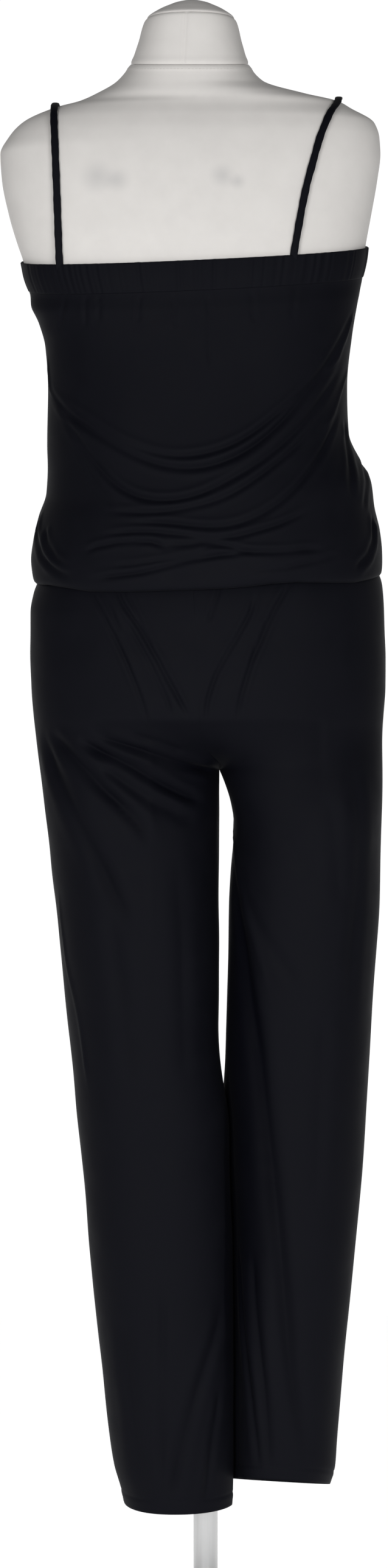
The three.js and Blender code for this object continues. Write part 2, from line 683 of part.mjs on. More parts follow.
// The blousing bodice.
const bodiceRows = [0, 14, 30, 46, 62, ...spread(78, 284, 24), 293, 301, 307, 313, 321, 328, 343];
const bodiceFrontRows = [0, 16, ...spread(36, 285, 10), 294, 301, 307, 313, 321, 328, 343];
const bodiceHalves = [
  { name: 'bodice_back', from: 0, to: Math.PI, rows: bodiceRows, columns: 28 },
  { name: 'bodice_front', from: Math.PI, to: 2 * Math.PI, rows: bodiceFrontRows, columns: 26 },
];
for (const half of bodiceHalves) {
  const shares = spread(0, 1, half.columns);
  add(half.name, clothPanel({ ...half, surface: bodicePoint, shares, thickness: JERSEY }), jersey);
}

// The trousers: a back and a front panel for each leg.
const legLength = (hem) => RISE + CROTCH_TURN + CROTCH - hem;
const trouserHalves = [
  {
    name: 'left', left: true, size: leftLegSize, hem: LEFT_HEM, length: legLength(LEFT_HEM),
    toLeft: 0, toBack: 0, middle: 30, folds: [...SEAT_FOLDS, ...LEFT_LEG_FOLDS],
  },
  {
    name: 'right', left: false, size: rightLegSize, hem: RIGHT_HEM, length: legLength(RIGHT_HEM),
    toLeft: RIGHT_HEM_TO_LEFT, toBack: RIGHT_HEM_TO_BACK, middle: -77, folds: [...SEAT_FOLDS, ...RIGHT_LEG_FOLDS],
  },
];
const trouserSides = [
  { name: 'back', from: 0, to: 1, columns: 12, legRows: 17 },
  { name: 'front', from: 0, to: -1, columns: 9, legRows: 13 },
];
for (const half of trouserHalves) {
  for (const side of trouserSides) {
    const rows = [0, 12, 26, 48, 76, 108, RISE, ...spread(RISE, RISE + CROTCH_TURN, 6).slice(1),
      ...spread(RISE + CROTCH_TURN, half.length, side.legRows).slice(1)];
    const keep = (down, point) => {
      const parting = partingAt(down, side.name);
      const free = SEAM_GAP / 2;
      point.x = half.left ? Math.max(point.x, parting + free) : Math.min(point.x, parting - free);
      return point;
    };
    const surface = (down, across) => trouserPoint(half, down, across);
    const turned = (side.name === 'back') !== half.left;
    const { from, to } = side;
    const shares = spread(0, 1, side.columns);
    const panel = clothPanel({ surface, rows, from, to, shares, thickness: JERSEY, turned, keep });
    add(`trouser_${side.name}_${half.name}`, panel, jersey);
  }
}

// The height of the shoulder's ridge at one X.
const HALVINGS = 24;
function shoulderHeight(x) {
  let low = SHOULDER_FOOT;
  let high = NECK_SEAM;
  for (let round = 0; round < HALVINGS; round += 1) {
    const middle = (low + high) / 2;
    const size = formSize(middle);
    if ((x > 0 ? size.left : size.right) > Math.abs(x)) low = middle;
    else high = middle;
  }
  return low;
}

// A narrow rouleau strap along its route, with its broad side on the form.
const STRAP_RINGS = 30;
const STRAP_POINTS = [1 / 3, 2 / 3, 1];
function strapGeometry(route, ends) {
  const lift = STRAP_CLEARANCE + STRAP_THICKNESS / 2;
  const surface = (down, around) => formPoint(-down, around);
  const onForm = ({ height, around }) => formPoint(height, around)
    .addScaledVector(squareTo(surface, -height, around, [-CAP_TOP, -FORM_BOTTOM]), lift);
  const placed = ({ side, height, x }) => {
    const angle = angleAt(formSize(height), x);
    if (side !== 'front') return { height, around: angle };
    return { height, around: x < 0 ? 2 * Math.PI - angle : -angle };
  };
  const endAt = (side, x) => {
    let height = BAND_TOP;
    for (let round = 0; round < SETTLING_ROUNDS; round += 1) {
      const point = onForm(placed({ side, height, x }));
      height = BAND_TOP + STRAP_END_GAP - FALL_TO_LEFT * point.x - FALL_TO_BACK * point.y;
    }
    return { side, height, x };
  };
  const overShoulder = ({ side, height, x }) => ({ side, x, height: side === 'top' ? shoulderHeight(x) : height });
  const keys = [endAt('back', ends.back), ...route.map(overShoulder), endAt('front', ends.front)];
  const points = [onForm(placed(keys[0]))];
  for (let i = 1; i < keys.length; i += 1) {
    const before = keys[i - 1];
    const after = keys[i];
    for (const share of STRAP_POINTS) {
      const level = { back: share, top: 1 - (1 - share) ** 2, front: before.side === 'top' ? share ** 2 : share };
      const height = mix(before.height, after.height, level[after.side]);
      const side = after.side === 'front' ? 'front' : 'back';
      points.push(onForm(placed({ side, height, x: mix(before.x, after.x, share) })));
    }
  }
  const curve = new THREE.CatmullRomCurve3(points);
  const wide = STRAP_WIDTH / 2;
  const thick = STRAP_THICKNESS / 2;
  const flank = 0.4 * thick;
  const flat = 0.65 * wide;
  const outline = [
    [wide, -flank], [wide, flank], [flat, thick], [-flat, thick],
    [-wide, flank], [-wide, -flank], [-flat, -thick], [flat, -thick],
  ];
  const rings = spread(0, 1, STRAP_RINGS).map((share) => {
    const middle = curve.getPointAt(share);
    const ahead = curve.getTangentAt(share);
    const sideways = new THREE.Vector3(1, 0, 0).addScaledVector(ahead, -ahead.x).normalize();
    const away = new THREE.Vector3().crossVectors(sideways, ahead);
    return outline.map(([w, t]) => middle.clone().addScaledVector(sideways, w).addScaledVector(away, t));
  });
  return loft(rings);
}
add('strap_left', strapGeometry(LEFT_STRAP, LEFT_STRAP_ENDS), jersey);
add('strap_right', strapGeometry(RIGHT_STRAP, RIGHT_STRAP_ENDS), jersey);

export default group;
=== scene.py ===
"""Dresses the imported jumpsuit, its dress form and its stand with cloth, cover, steel, light and a camera.

All sizes in this file are millimetres until a mesh is made. The garment's back faces +Y, where the camera is,
and the wearer's left is +X.
"""

import logging
import math
from dataclasses import dataclass
from enum import Enum
from typing import Callable

import bmesh
import bpy
import numpy as np
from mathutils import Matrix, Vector, kdtree

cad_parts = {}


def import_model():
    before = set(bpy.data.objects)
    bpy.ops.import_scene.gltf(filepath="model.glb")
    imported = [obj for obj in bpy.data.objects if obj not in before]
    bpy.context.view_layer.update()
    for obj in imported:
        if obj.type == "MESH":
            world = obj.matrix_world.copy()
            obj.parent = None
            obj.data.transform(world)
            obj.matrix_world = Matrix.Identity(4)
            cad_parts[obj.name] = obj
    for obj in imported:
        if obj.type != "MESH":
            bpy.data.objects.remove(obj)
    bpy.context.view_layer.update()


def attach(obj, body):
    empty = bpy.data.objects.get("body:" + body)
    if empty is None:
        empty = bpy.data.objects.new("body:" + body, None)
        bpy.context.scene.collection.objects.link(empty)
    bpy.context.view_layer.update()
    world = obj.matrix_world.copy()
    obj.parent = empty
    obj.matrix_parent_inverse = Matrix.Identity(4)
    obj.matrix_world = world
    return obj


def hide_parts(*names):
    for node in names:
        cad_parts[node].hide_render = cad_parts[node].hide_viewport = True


LOG = logging.getLogger("jumpsuit")
MM = 0.001
HALF_TURN = math.pi
FULL_TURN = 2 * math.pi
Size = dict[str, np.ndarray]
Surface = Callable[[np.ndarray, np.ndarray], np.ndarray]

# The cut of the garment, as in the part's source.
BAND_TOP = 1432.6
BAND_HEIGHT = 31.0
BAND_CLOTH = 2.2
BAND_CLEARANCE = 1.0
FALL_TO_LEFT = 0.045
FALL_TO_BACK = 0.164
HIP_SEAM = 1127.0
RISE_END = 952.0
CROTCH = 900.0
RISE = HIP_SEAM - RISE_END
CROTCH_DROP = RISE_END - CROTCH
CROTCH_TURN = CROTCH_DROP * HALF_TURN / 2
LEG_SHAPE_START = 950.0
LEG_SHAPE_END = 800.0
CROTCH_FULLNESS = 8.0
HEM_TILT_START = 420.0
JERSEY = 0.9

# The form and its stand.
SQUARENESS = 2.3
BUST_HEIGHT = 1372.0
BUST_APART = 82.0
BUST_RADIUS = 48.0
BUST_DEPTH = 18.0
BUST_TO_LEFT = 10.0
FORM_BOTTOM = 945.0
NECK_SEAM = 1629.0
CAP_EDGE = 1674.0
CAP_TOP = 1694.0


def ease(start: float, end: float, at: np.ndarray) -> np.ndarray:
    """Rises smoothly from 0 at start to 1 at end.

    Args:
        start: Where the rise begins.
        end: Where the rise ends.
        at: The places asked for.

    Returns:
        The share at each place.
    """
    share = np.clip((np.asarray(at, float) - start) / (end - start), 0, 1)
    return share * share * (3 - 2 * share)


def mix(start: np.ndarray, end: np.ndarray, share: np.ndarray) -> np.ndarray:
    """Gives the value a share of the way from start to end."""
    return start + (end - start) * share


def unit(vectors: np.ndarray) -> np.ndarray:
    """Scales each vector to length 1."""
    return vectors / np.maximum(np.linalg.norm(vectors, axis=-1, keepdims=True), 1e-9)


def lengths_along(path: np.ndarray) -> np.ndarray:
    """Gives the length along a path up to each of its points."""
    return np.concatenate([[0], np.cumsum(np.linalg.norm(np.diff(path, axis=0), axis=1))])


def lengths_around(grid: np.ndarray) -> np.ndarray:
    """Gives the length along each row of a grid up to each of its points."""
    steps = np.linalg.norm(np.diff(grid, axis=1), axis=2)
    return np.concatenate([np.zeros((len(grid), 1)), np.cumsum(steps, axis=1)], axis=1)


def bell(away: np.ndarray, width: float) -> np.ndarray:
    """Gives a bell curve of height 1 at each distance from its middle."""
    return np.exp(-(away / width) ** 2)


def evenly(path: np.ndarray, steps: int) -> np.ndarray:
    """Places evenly spaced points along a path.

    Args:
        path: The path's points.
        steps: How many points are wanted.

    Returns:
        The points.
    """
    length = lengths_along(path)
    even = np.linspace(0, length[-1], steps)
    return np.stack([np.interp(even, length, path[:, axis]) for axis in range(path.shape[1])], axis=1)


def smoothed(path: np.ndarray, rounds: int) -> np.ndarray:
    """Smooths a path's points, its two ends held."""
    path = path.copy()
    for _ in range(rounds):
        path[1:-1] = (path[:-2] + 2 * path[1:-1] + path[2:]) / 4
    return path


class Track:
    """A smooth curve through the rows of one column that never overshoots them."""

    def __init__(self, at: np.ndarray, value: np.ndarray) -> None:
        """Works out the slope at each row.

        Args:
            at: Where the rows are.
            value: The column's value at each row.
        """
        self.at = at
        self.value = value
        step = np.diff(at)
        slope = np.diff(value) / step
        tangent = np.concatenate([slope[:1], np.zeros(len(at) - 2), slope[-1:]])
        turns = slope[:-1] * slope[1:] <= 0
        before = np.where(turns, 1, slope[:-1])
        after = np.where(turns, 1, slope[1:])
        near = 2 * step[1:] + step[:-1]
        far = step[1:] + 2 * step[:-1]
        tangent[1:-1] = np.where(turns, 0, (near + far) / (near / before + far / after))
        self.tangent = tangent

    def __call__(self, place: np.ndarray) -> np.ndarray:
        """Gives the curve's value at each place, held at the two ends.

        Args:
            place: The places asked for.

        Returns:
            The values there.
        """
        inside = np.clip(place, self.at[0], self.at[-1])
        row = np.clip(np.searchsorted(self.at, inside, side="right") - 1, 0, len(self.at) - 2)
        step = self.at[row + 1] - self.at[row]
        t = (inside - self.at[row]) / step
        bend = t * t * (3 - 2 * t)
        curve = (1 - t) * self.tangent[row] - t * self.tangent[row + 1]
        return mix(self.value[row], self.value[row + 1], bend) + step * t * (1 - t) * curve


class Sections:
    """Cross-sections along one direction, read as smooth tracks of each named column."""

    def __init__(self, columns: str, rows: list[tuple[float, ...]]) -> None:
        """Makes a track of every column after the first.

        Args:
            columns: The columns' names, the first of them the place along the sections.
            rows: The sections.
        """
        table = np.array(rows, float).T
        self.tracks = {name: Track(table[0], column) for name, column in zip(columns.split()[1:], table[1:])}

    def __call__(self, place: np.ndarray) -> Size:
        """Gives all columns at each place."""
        return {name: track(np.asarray(place, float)) for name, track in self.tracks.items()}


def on_section(size: Size, angle: np.ndarray) -> np.ndarray:
    """Places points on rounded sections.

    Args:
        size: The sections' left, right, back and front reach.
        angle: 0 is the wearer's left and a quarter turn is the back.

    Returns:
        The points, with a Z of 0.
    """
    power = 2 / SQUARENESS
    depth = np.where(np.sin(angle) >= 0, size["back"], size["front"])
    across = (size["left"] + size["right"]) / 2
    x = (size["left"] - size["right"]) / 2 + across * np.sign(np.cos(angle)) * np.abs(np.cos(angle)) ** power
    y = depth * np.sign(np.sin(angle)) * np.abs(np.sin(angle)) ** power
    return np.stack([x, y, np.zeros_like(x)], axis=-1)


def outward_on_section(size: Size, angle: np.ndarray) -> np.ndarray:
    """Gives the level directions square to rounded sections."""
    power = 2 - 2 / SQUARENESS
    depth = np.where(np.sin(angle) >= 0, size["back"], size["front"])
    across = (size["left"] + size["right"]) / 2
    x = np.sign(np.cos(angle)) * np.abs(np.cos(angle)) ** power / across
    y = np.sign(np.sin(angle)) * np.abs(np.sin(angle)) ** power / depth
    return unit(np.stack([x, y, np.zeros_like(x)], axis=-1))


def angle_at(size: Size, x: np.ndarray) -> np.ndarray:
    """Gives the angle at which a section has a given X."""
    across = (size["left"] + size["right"]) / 2
    share = np.clip((x - (size["left"] - size["right"]) / 2) / across, -1, 1)
    return np.arccos(np.sign(share) * np.abs(share) ** (SQUARENESS / 2))


def bust(x: np.ndarray, height: np.ndarray, fall: float) -> np.ndarray:
    """Tells how far the bust stands out in front.

    Args:
        x: X places.
        height: Heights.
        fall: How fast it falls off below.

    Returns:
        The reach at each place.
    """
    drop = height - BUST_HEIGHT
    level = np.exp(-(drop ** 2) / (2 * np.where(drop < 0, fall, BUST_RADIUS) ** 2))
    across = sum(np.exp(-((x - side * BUST_APART - BUST_TO_LEFT) ** 2) / (2 * BUST_RADIUS ** 2))
                 for side in (-1, 1))
    return BUST_DEPTH * level * across


FORM_SIZE = Sections("height left right back front lean", [
    (945, 163, 168, 104, 84, 0), (949, 169, 174, 109, 89, 0), (957, 171, 176, 112, 92, 0),
    (1020, 174, 179, 117, 98, 0), (1090, 166, 168, 106, 97, 0), (1150, 147, 143, 90, 93, 0),
    (1215, 131, 123, 80, 88, 0), (1290, 142, 128, 86, 96, 0), (1350, 161, 140, 94, 104, 0),
    (1405, 184, 159, 98, 98, 0), (1424, 188.5, 163, 98.5, 96, 0), (1443, 195, 166, 99, 92, 0),
    (1470, 203, 171, 98, 84, 0), (1510, 211, 178, 94, 72, 0), (1535, 212.5, 181, 89, 61, 0),
    (1552, 204, 180, 84, 54, 0), (1567, 190, 175, 77, 46, 0), (1582, 158, 151, 69, 38, 0.02),
    (1589, 133, 139, 66.5, 37, 0.04), (1597, 115, 106, 65, 37, 0.06), (1612, 91, 59, 62, 40, 0.13),
    (1629, 78, 45, 60, 42, 0.165), (1650, 70, 38, 58, 44, 0.08), (1674, 62, 31, 55, 44, 0),
    (1683, 50, 20, 42, 30, 0), (1690, 35, 6, 27, 15, 0),
])
HIP_SIZE = Sections("height left right back front tilt", [
    (815, 160, 180.3, 100, 94, 0), (860, 165, 181, 103.5, 96, 0), (900, 170.3, 181.6, 106, 98, 0),
    (925, 173.8, 182, 108.5, 99, 0), (942, 175.8, 182.8, 111.5, 100, 0), (955, 177.3, 183.8, 115.3, 101, 0),
    (985, 180, 186, 118.6, 101.8, 0), (1015, 181, 186.3, 120.4, 102, 0.05),
    (1040, 180.5, 185.3, 119.4, 101.8, 0.17), (1065, 180.3, 184.3, 118.4, 101.6, 0.36),
    (1085, 177, 182.4, 116, 101.4, 0.5),
    (1094, 174, 180, 113.6, 101, 0.54), (1101, 170.6, 174.6, 110.4, 100.6, 0.56),
    (1112, 166, 164.6, 105.9, 99.4, 0.57),
    (1127, 160.6, 157.4, 101.8, 97.8, 0.57),
])
LEFT_LEG_SIZE = Sections("height outer inner back front", [
    (130, 82, -22.6, 62, 60), (158, 87.5, -23.2, 63, 61), (183, 94.3, -23.8, 65, 63), (259, 104.3, -24, 67.5, 66),
    (335, 112.3, -23.8, 71, 69.5), (410, 120.3, -22.4, 74.5, 73), (486, 126.3, -19.6, 79, 77),
    (536, 131.5, -19, 82, 79.5), (567, 134.7, -17.3, 83.8, 81), (592, 137.3, -15.7, 85.2, 82.2),
    (617, 140, -14.1, 86.5, 83.2), (637, 142.3, -13.5, 87.5, 84),
    (713, 149.3, -13.4, 92.5, 88.5), (788, 157.3, -13.3, 97.5, 92), (839, 162.3, -13.3, 101, 94),
    (898, 170, -13.9, 105, 95.6), (914, 172.3, -14, 106, 96), (1000, 181, -14.1, 114, 98),
])
RIGHT_LEG_SIZE = Sections("height outer inner back front", [
    (130, -122, -25.2, 58, 60), (158, -127.3, -25.4, 59.5, 61), (183, -133.8, -25.7, 62, 63),
    (209, -135.5, -25.8, 63.5, 64), (284, -142.3, -25.9, 67.5, 67.5), (360, -149.3, -25.3, 72, 71),
    (435, -157.3, -23.4, 76, 74.5), (511, -163.3, -20.8, 80.5, 78), (536, -165, -20.5, 82, 79),
    (587, -168.3, -20.9, 85, 81.5), (662, -173.3, -22.3, 89, 85), (713, -176.6, -23.8, 92.5, 88),
    (763, -179.3, -24.8, 96, 90.5), (800, -180.1, -26.8, 98.4, 92), (824, -180.5, -28.9, 100, 93),
    (846, -180.8, -29.6, 101.6, 93.8), (866, -181, -26.6, 103, 94.5), (882, -181.2, -21.6, 104.1, 95.1),
    (893, -181.4, -17.4, 105, 95.5), (900, -181.6, -14.6, 105.4, 95.7), (1000, -186, -14.1, 114, 98),
])
CENTRE_SEAM = Sections("height back front", [(815, 3, 2), (900, 3, 2), (950, 6, 3), (1030, 10, 3), (1127, 14, 3)])


def lapped(height: float) -> tuple[float, ...]:
    """Gives a section of the bodice that laps the hip's elastic seam."""
    hip = HIP_SIZE(np.array(height))
    return (height, *(float(hip[side]) + 2.4 for side in ("left", "right", "back", "front")), float(hip["tilt"]))


BODICE_SIZE = Sections("down height left right back front tilt", [
    (0, 1401.3, 187, 163, 100, 101, 1), (13, 1388, 181, 159.3, 99.6, 104, 0.98),
    (33, 1368, 171.6, 155.3, 99.8, 108.5, 0.96), (58, 1343, 165.2, 151.3, 100.5, 111.5, 0.93),
    (109, 1292, 162.6, 146.3, 103.5, 115, 0.88), (159, 1242, 163, 148, 109, 116.5, 0.8),
    (184, 1217, 162.3, 157.2, 112.6, 117, 0.77), (210, 1191, 163.6, 169.8, 117, 118, 0.73),
    (235, 1166, 171.8, 173.6, 121.2, 119, 0.68), (260, 1141, 177.6, 179.6, 124.8, 119.6, 0.63),
    (280, 1121, 180, 182, 126.2, 120, 0.6), (292, 1109, 179, 182.4, 125.8, 119.4, 0.58),
    (301, 1100.4, 177.4, 181.8, 123.8, 117.6, 0.57), (306, 1097.2, 175, 180.2, 120.2, 114, 0.57),
    (312, 1099.4, 173.4, 178.4, 116.4, 109.6, 0.57), (321, 1106.4, 170.8, 173.6, 111.6, 105, 0.57),
    (328, *lapped(1112)), (343, *lapped(1126)),
])

# How far the pouch's lower edge is above its even line, as X places and heights.
POUCH_EDGE_BEHIND = ((-176, -150, -120, -90, -66, -46, -24, 0, 40, 80, 118, 140, 160, 178),
                     (0, -2, 0.4, 2.6, 2.2, 0.4, -0.8, -1.4, -1.8, -2.6, -2.4, 0.4, 2.2, 0))
POUCH_EDGE_IN_FRONT = ((-176, -130, -80, -30, 30, 90, 140, 178), (0, 1.6, -1.4, 1.2, -1.6, 1.0, -1.2, 0))


class Side(Enum):
    """The two sides of the garment, by the sign of Y."""

    BACK = 1
    FRONT = -1


@dataclass(frozen=True)
class Fold:
    """A soft fold in the cloth, drawn through points that are given as X and Z.

    The trough is depth deep and about twice width wide. The ridges above and below it stand up by a share
    of the depth. A fold below depth 0 is a ridge. It runs on past its ends, along the cloth, by run_on.
    """

    path: tuple[tuple[float, float], ...]
    depth: float
    width: float
    above: float = 0.5
    below: float = 0.3
    run_on: float = 20.0
    side: Side = Side.BACK

    def drawn(self, steps: int) -> np.ndarray:
        """Gives evenly spaced points along the path.

        Args:
            steps: How many points.

        Returns:
            X and Z of each point.
        """
        return evenly(np.array(self.path, float), steps)

    @property
    def middle(self) -> float:
        """The X of the path's middle point."""
        return self.path[len(self.path) // 2][0]


BODICE_FOLDS = [
    Fold(((146, 1278), (134, 1268), (123, 1260), (94, 1237), (69, 1225), (44, 1216), (19, 1216), (-11, 1222),
          (-35, 1232), (-60, 1250), (-90, 1277), (-115, 1304), (-134, 1336), (-149, 1366)), 2.1, 3.3, 0.5, 0.4),
    Fold(((158, 1287), (150, 1272), (133, 1257), (113, 1244), (79, 1221), (54, 1211), (34, 1204), (14, 1202),
          (-11, 1207), (-30, 1216), (-55, 1232), (-80, 1257), (-105, 1287), (-128, 1314), (-143, 1350)), 2.8, 3.7,
         0.5, 0.4),
    Fold(((148, 1270), (133, 1242), (113, 1213), (93, 1188), (74, 1176), (49, 1170), (24, 1173), (-1, 1180),
          (-25, 1195), (-50, 1208), (-80, 1232), (-100, 1252), (-120, 1282), (-134, 1307)), 2.2, 3.4, 0.5, 0.4),
    Fold(((89, 1163), (59, 1160), (24, 1165), (-11, 1172), (-40, 1187), (-70, 1210), (-95, 1232), (-115, 1260)),
         1.7, 3.0, 0.5, 0.4),
    Fold(((69, 1152), (29, 1150), (4, 1146), (-20, 1146), (-50, 1156), (-80, 1175), (-105, 1203), (-125, 1237),
          (-134, 1262)), 2.0, 3.2, 0.5, 0.4),
    Fold(((94, 1140), (59, 1143), (24, 1138), (-11, 1133), (-35, 1138), (-70, 1148), (-96, 1160)), 1.8, 2.8),
    Fold(((112, 1127), (90, 1131), (74, 1133), (50, 1131)), 1.8, 2.8),
    Fold(((28, 1128), (8, 1131), (-11, 1130), (-27, 1126), (-45, 1121), (-75, 1122), (-106, 1125)),
         2.0, 3.0, 0.5, 0.4),
    Fold(((106, 1096), (74, 1099), (49, 1105), (19, 1113), (-11, 1118), (-36, 1120)), 2.1, 3.0, 0.5, 0.4),
    Fold(((78, 1108), (39, 1114), (9, 1119)), 1.4, 2.6),
    Fold(((-60, 1104), (-90, 1108), (-122, 1116)), 1.2, 3.0),
    Fold(((128, 1226), (116, 1200), (100, 1176)), 1.0, 3.4),
    Fold(((162, 1322), (159, 1290), (151, 1274), (140, 1262)), -1.5, 2.8, 0.0, 0.0, 6),
    Fold(((-151, 1368), (-144, 1345), (-134, 1322), (-120, 1304)), -1.5, 2.8, 0.0, 0.0, 6),
    Fold(((-146, 1312), (-139, 1292), (-131, 1268), (-120, 1248)), -1.4, 2.8, 0.0, 0.0, 6),
    Fold(((170, 1160), (173, 1140), (168, 1120), (156, 1106), (136, 1096)), 2.0, 4.0, 0.9, 0.5, 6),
    Fold(((164, 1150), (163, 1134), (153, 1116), (136, 1104)), 1.5, 3.6, 0.7, 0.5, 4),
    Fold(((-170, 1158), (-171, 1136), (-165, 1120), (-152, 1106)), 2.0, 4.0, 0.5, 0.8, 6),
    Fold(((-143, 1256), (-146, 1218), (-147, 1180)), 1.5, 4.5, 0.7, 0.7, 8),
    Fold(((-160, 1226), (-164, 1196), (-160, 1168)), 1.1, 4.0, 0.6, 0.6, 8),
    Fold(((121, 1396), (121.5, 1376), (122, 1350)), 0.8, 2.8, 0.4, 0.4, 0),
    Fold(((108, 1396), (108, 1378), (108, 1354)), 0.7, 2.8, 0.4, 0.4, 0),
    Fold(((141, 1394), (144, 1376), (149, 1346)), 0.7, 3.0, 0.4, 0.4, 0),
    Fold(((67, 1398), (67.5, 1380), (68, 1352)), 0.8, 2.6, 0.4, 0.4, 0),
    Fold(((34, 1398), (33, 1376), (30, 1346)), 0.7, 2.8, 0.4, 0.4, 0),
    Fold(((-1, 1402), (-3, 1360), (-4, 1306)), 0.8, 3.0, 0.3, 0.3, 0),
    Fold(((-45, 1404), (-46, 1384), (-49, 1352)), 0.5, 3.4, 0.4, 0.4, 0),
    Fold(((-92, 1406), (-91, 1388), (-86, 1356)), 0.5, 3.4, 0.4, 0.4, 0),
    Fold(((150, 1296), (80, 1250), (9, 1225), (-70, 1262), (-132, 1312)), 3.2, 7, side=Side.FRONT),
    Fold(((146, 1250), (90, 1202), (4, 1180), (-80, 1208), (-138, 1264)), 3.8, 7, side=Side.FRONT),
    Fold(((120, 1200), (60, 1160), (-12, 1150), (-70, 1170), (-130, 1220)), 3.2, 6, side=Side.FRONT),
    Fold(((90, 1140), (40, 1126), (0, 1124), (-60, 1130), (-110, 1150)), 2.8, 5, side=Side.FRONT),
    Fold(((60, 1412), (56, 1360), (48, 1310)), 1.8, 5, side=Side.FRONT),
    Fold(((-52, 1416), (-48, 1366), (-40, 1322)), 1.8, 5, side=Side.FRONT),
    Fold(((8, 1410), (9, 1396), (8, 1378)), 1.2, 3, side=Side.FRONT, run_on=0),
    Fold(((104, 1404), (104, 1388), (100, 1370)), 1.2, 3, side=Side.FRONT, run_on=0),
    Fold(((-100, 1410), (-98, 1392), (-92, 1372)), 1.2, 3, side=Side.FRONT, run_on=0),
]
SEAT_FOLDS = [
    Fold(((92, 1100), (88, 1078), (69, 1049), (49, 1015), (34, 987), (14, 950)), 2.1, 2.5, 0.6, 0.5, 0),
    Fold(((84, 1094), (80, 1079), (64, 1049), (52, 1026)), 1.5, 2.3, 0.5, 0.4, 0),
    Fold(((80, 1056), (76, 1047), (56, 1012), (39, 973), (33, 952)), 1.2, 2.4, 0.5, 0.4, 0),
    Fold(((121, 1096), (114, 1079), (98, 1049), (81, 1015), (69, 987), (57, 946)), 1.7, 2.4, 0.6, 0.4, 0),
    Fold(((108, 1086), (94, 1060), (86, 1040)), 1.0, 2.6, 0.5, 0.4, 0),
    Fold(((-15, 1096), (-12, 1080), (-7, 1066), (-2, 1050)), 1.2, 2.4, 0.5, 0.4, 0),
    Fold(((-50, 1084), (-45, 1060), (-26, 1028), (-11, 1002), (-1, 973), (2, 940)), 1.7, 2.4, 0.5, 0.5, 0),
    Fold(((-86, 1098), (-82, 1086), (-70, 1067), (-57, 1037), (-45, 1010), (-35, 978), (-30, 948)),
         2.1, 2.5, 0.6, 0.5, 0),
    Fold(((-62, 1056), (-50, 1032), (-42, 1008)), 1.0, 2.4, 0.5, 0.4, 0),
]
LEFT_LEG_FOLDS = [
    Fold(((163, 929), (151, 895), (133, 860), (113, 820), (96, 788), (78, 752)), 3.2, 8.5, 0.3, 0.3),
    Fold(((152, 932), (128, 908), (104, 884), (82, 864), (62, 844)), 4.2, 6.5, 0.35, 0.3),
    Fold(((132, 936), (113, 924), (79, 908), (49, 890), (24, 876), (-1, 868)), 4.4, 5.8, 0.35, 0.3, 4),
    Fold(((118, 940), (103, 934), (64, 922), (24, 908), (-8, 899)), 3.6, 5.0, 0.35, 0.3, 4),
    Fold(((100, 902), (74, 884), (46, 866), (20, 852)), 2.4, 6.5, 0.3, 0.3),
    Fold(((80, 940), (50, 931), (22, 921)), 1.8, 4.5, 0.3, 0.3, 4),
    Fold(((149, 762), (141, 704), (130, 650), (121, 590)), -1.3, 3.6, 0.0, 0.0),
    Fold(((55, 962), (55, 900), (56, 820), (54, 730)), -0.6, 5.0, 0.0, 0.0),
    Fold(((110, 800), (92, 740), (82, 670), (76, 590)), 1.8, 10.0, 0.3, 0.3),
    Fold(((28, 800), (24, 700), (22, 600)), 1.4, 9.0, 0.3, 0.3),
    Fold(((-15, 345), (-6, 313), (9, 268), (24, 218), (34, 170)), 2.6, 6.5, 0.35, 0.3),
    Fold(((43, 372), (44, 290), (45, 204), (43, 166)), 1.3, 4.5),
    Fold(((-12, 250), (-7, 216), (-1, 170)), 1.6, 4.5),
    Fold(((84, 330), (74, 250), (66, 176)), 1.2, 8.0),
]
RIGHT_LEG_FOLDS = [
    Fold(((-28, 850), (-33, 796), (-40, 766), (-51, 726), (-64, 680)), -1.5, 4.5, 0.0, 0.0, 8),
    Fold(((-38, 776), (-60, 731), (-90, 691)), 1.6, 6.0, 0.3, 0.3),
    Fold(((-30, 790), (-37, 740), (-45, 662), (-54, 617), (-60, 567), (-65, 518), (-71, 456), (-76, 410),
          (-81, 350), (-84, 300), (-91, 256), (-104, 190)), 4.6, 9.5, 0.12, 0.15),
    Fold(((-80, 836), (-90, 822), (-106, 812)), 1.0, 6.0, 0.3, 0.3),
    Fold(((-126, 862), (-131, 830), (-134, 782)), 0.9, 8.0, 0.3, 0.3),
    Fold(((-150, 900), (-156, 838), (-154, 780), (-149, 720), (-144, 650)), 1.4, 8.5, 0.3, 0.3),
    Fold(((-118, 640), (-114, 560), (-112, 470)), 1.4, 9.0, 0.3, 0.3),
    Fold(((-48, 400), (-51, 350), (-55, 312), (-60, 263), (-65, 188)), 2.6, 5.2, 0.35, 0.3),
    Fold(((-35, 400), (-38, 350), (-41, 312), (-46, 262), (-55, 190)), 2.4, 4.6, 0.35, 0.3),
]
FRONT_LEG_FOLDS = [
    Fold(((30, 956), (54, 900), (74, 836), (96, 740)), 3.2, 7, side=Side.FRONT),
    Fold(((62, 962), (96, 910), (124, 850)), 2.6, 6, side=Side.FRONT),
    Fold(((-34, 950), (-62, 880), (-84, 810), (-108, 710)), 3.2, 7, side=Side.FRONT),
    Fold(((-70, 958), (-104, 900), (-132, 838)), 2.6, 6, side=Side.FRONT),
    Fold(((74, 600), (62, 430), (44, 200)), 2.8, 7, side=Side.FRONT),
    Fold(((24, 420), (14, 300), (2, 180)), 2.2, 6, side=Side.FRONT),
    Fold(((-104, 610), (-92, 450), (-72, 210)), 2.8, 7, side=Side.FRONT),
    Fold(((-48, 430), (-44, 320), (-46, 200)), 2.2, 6, side=Side.FRONT),
]


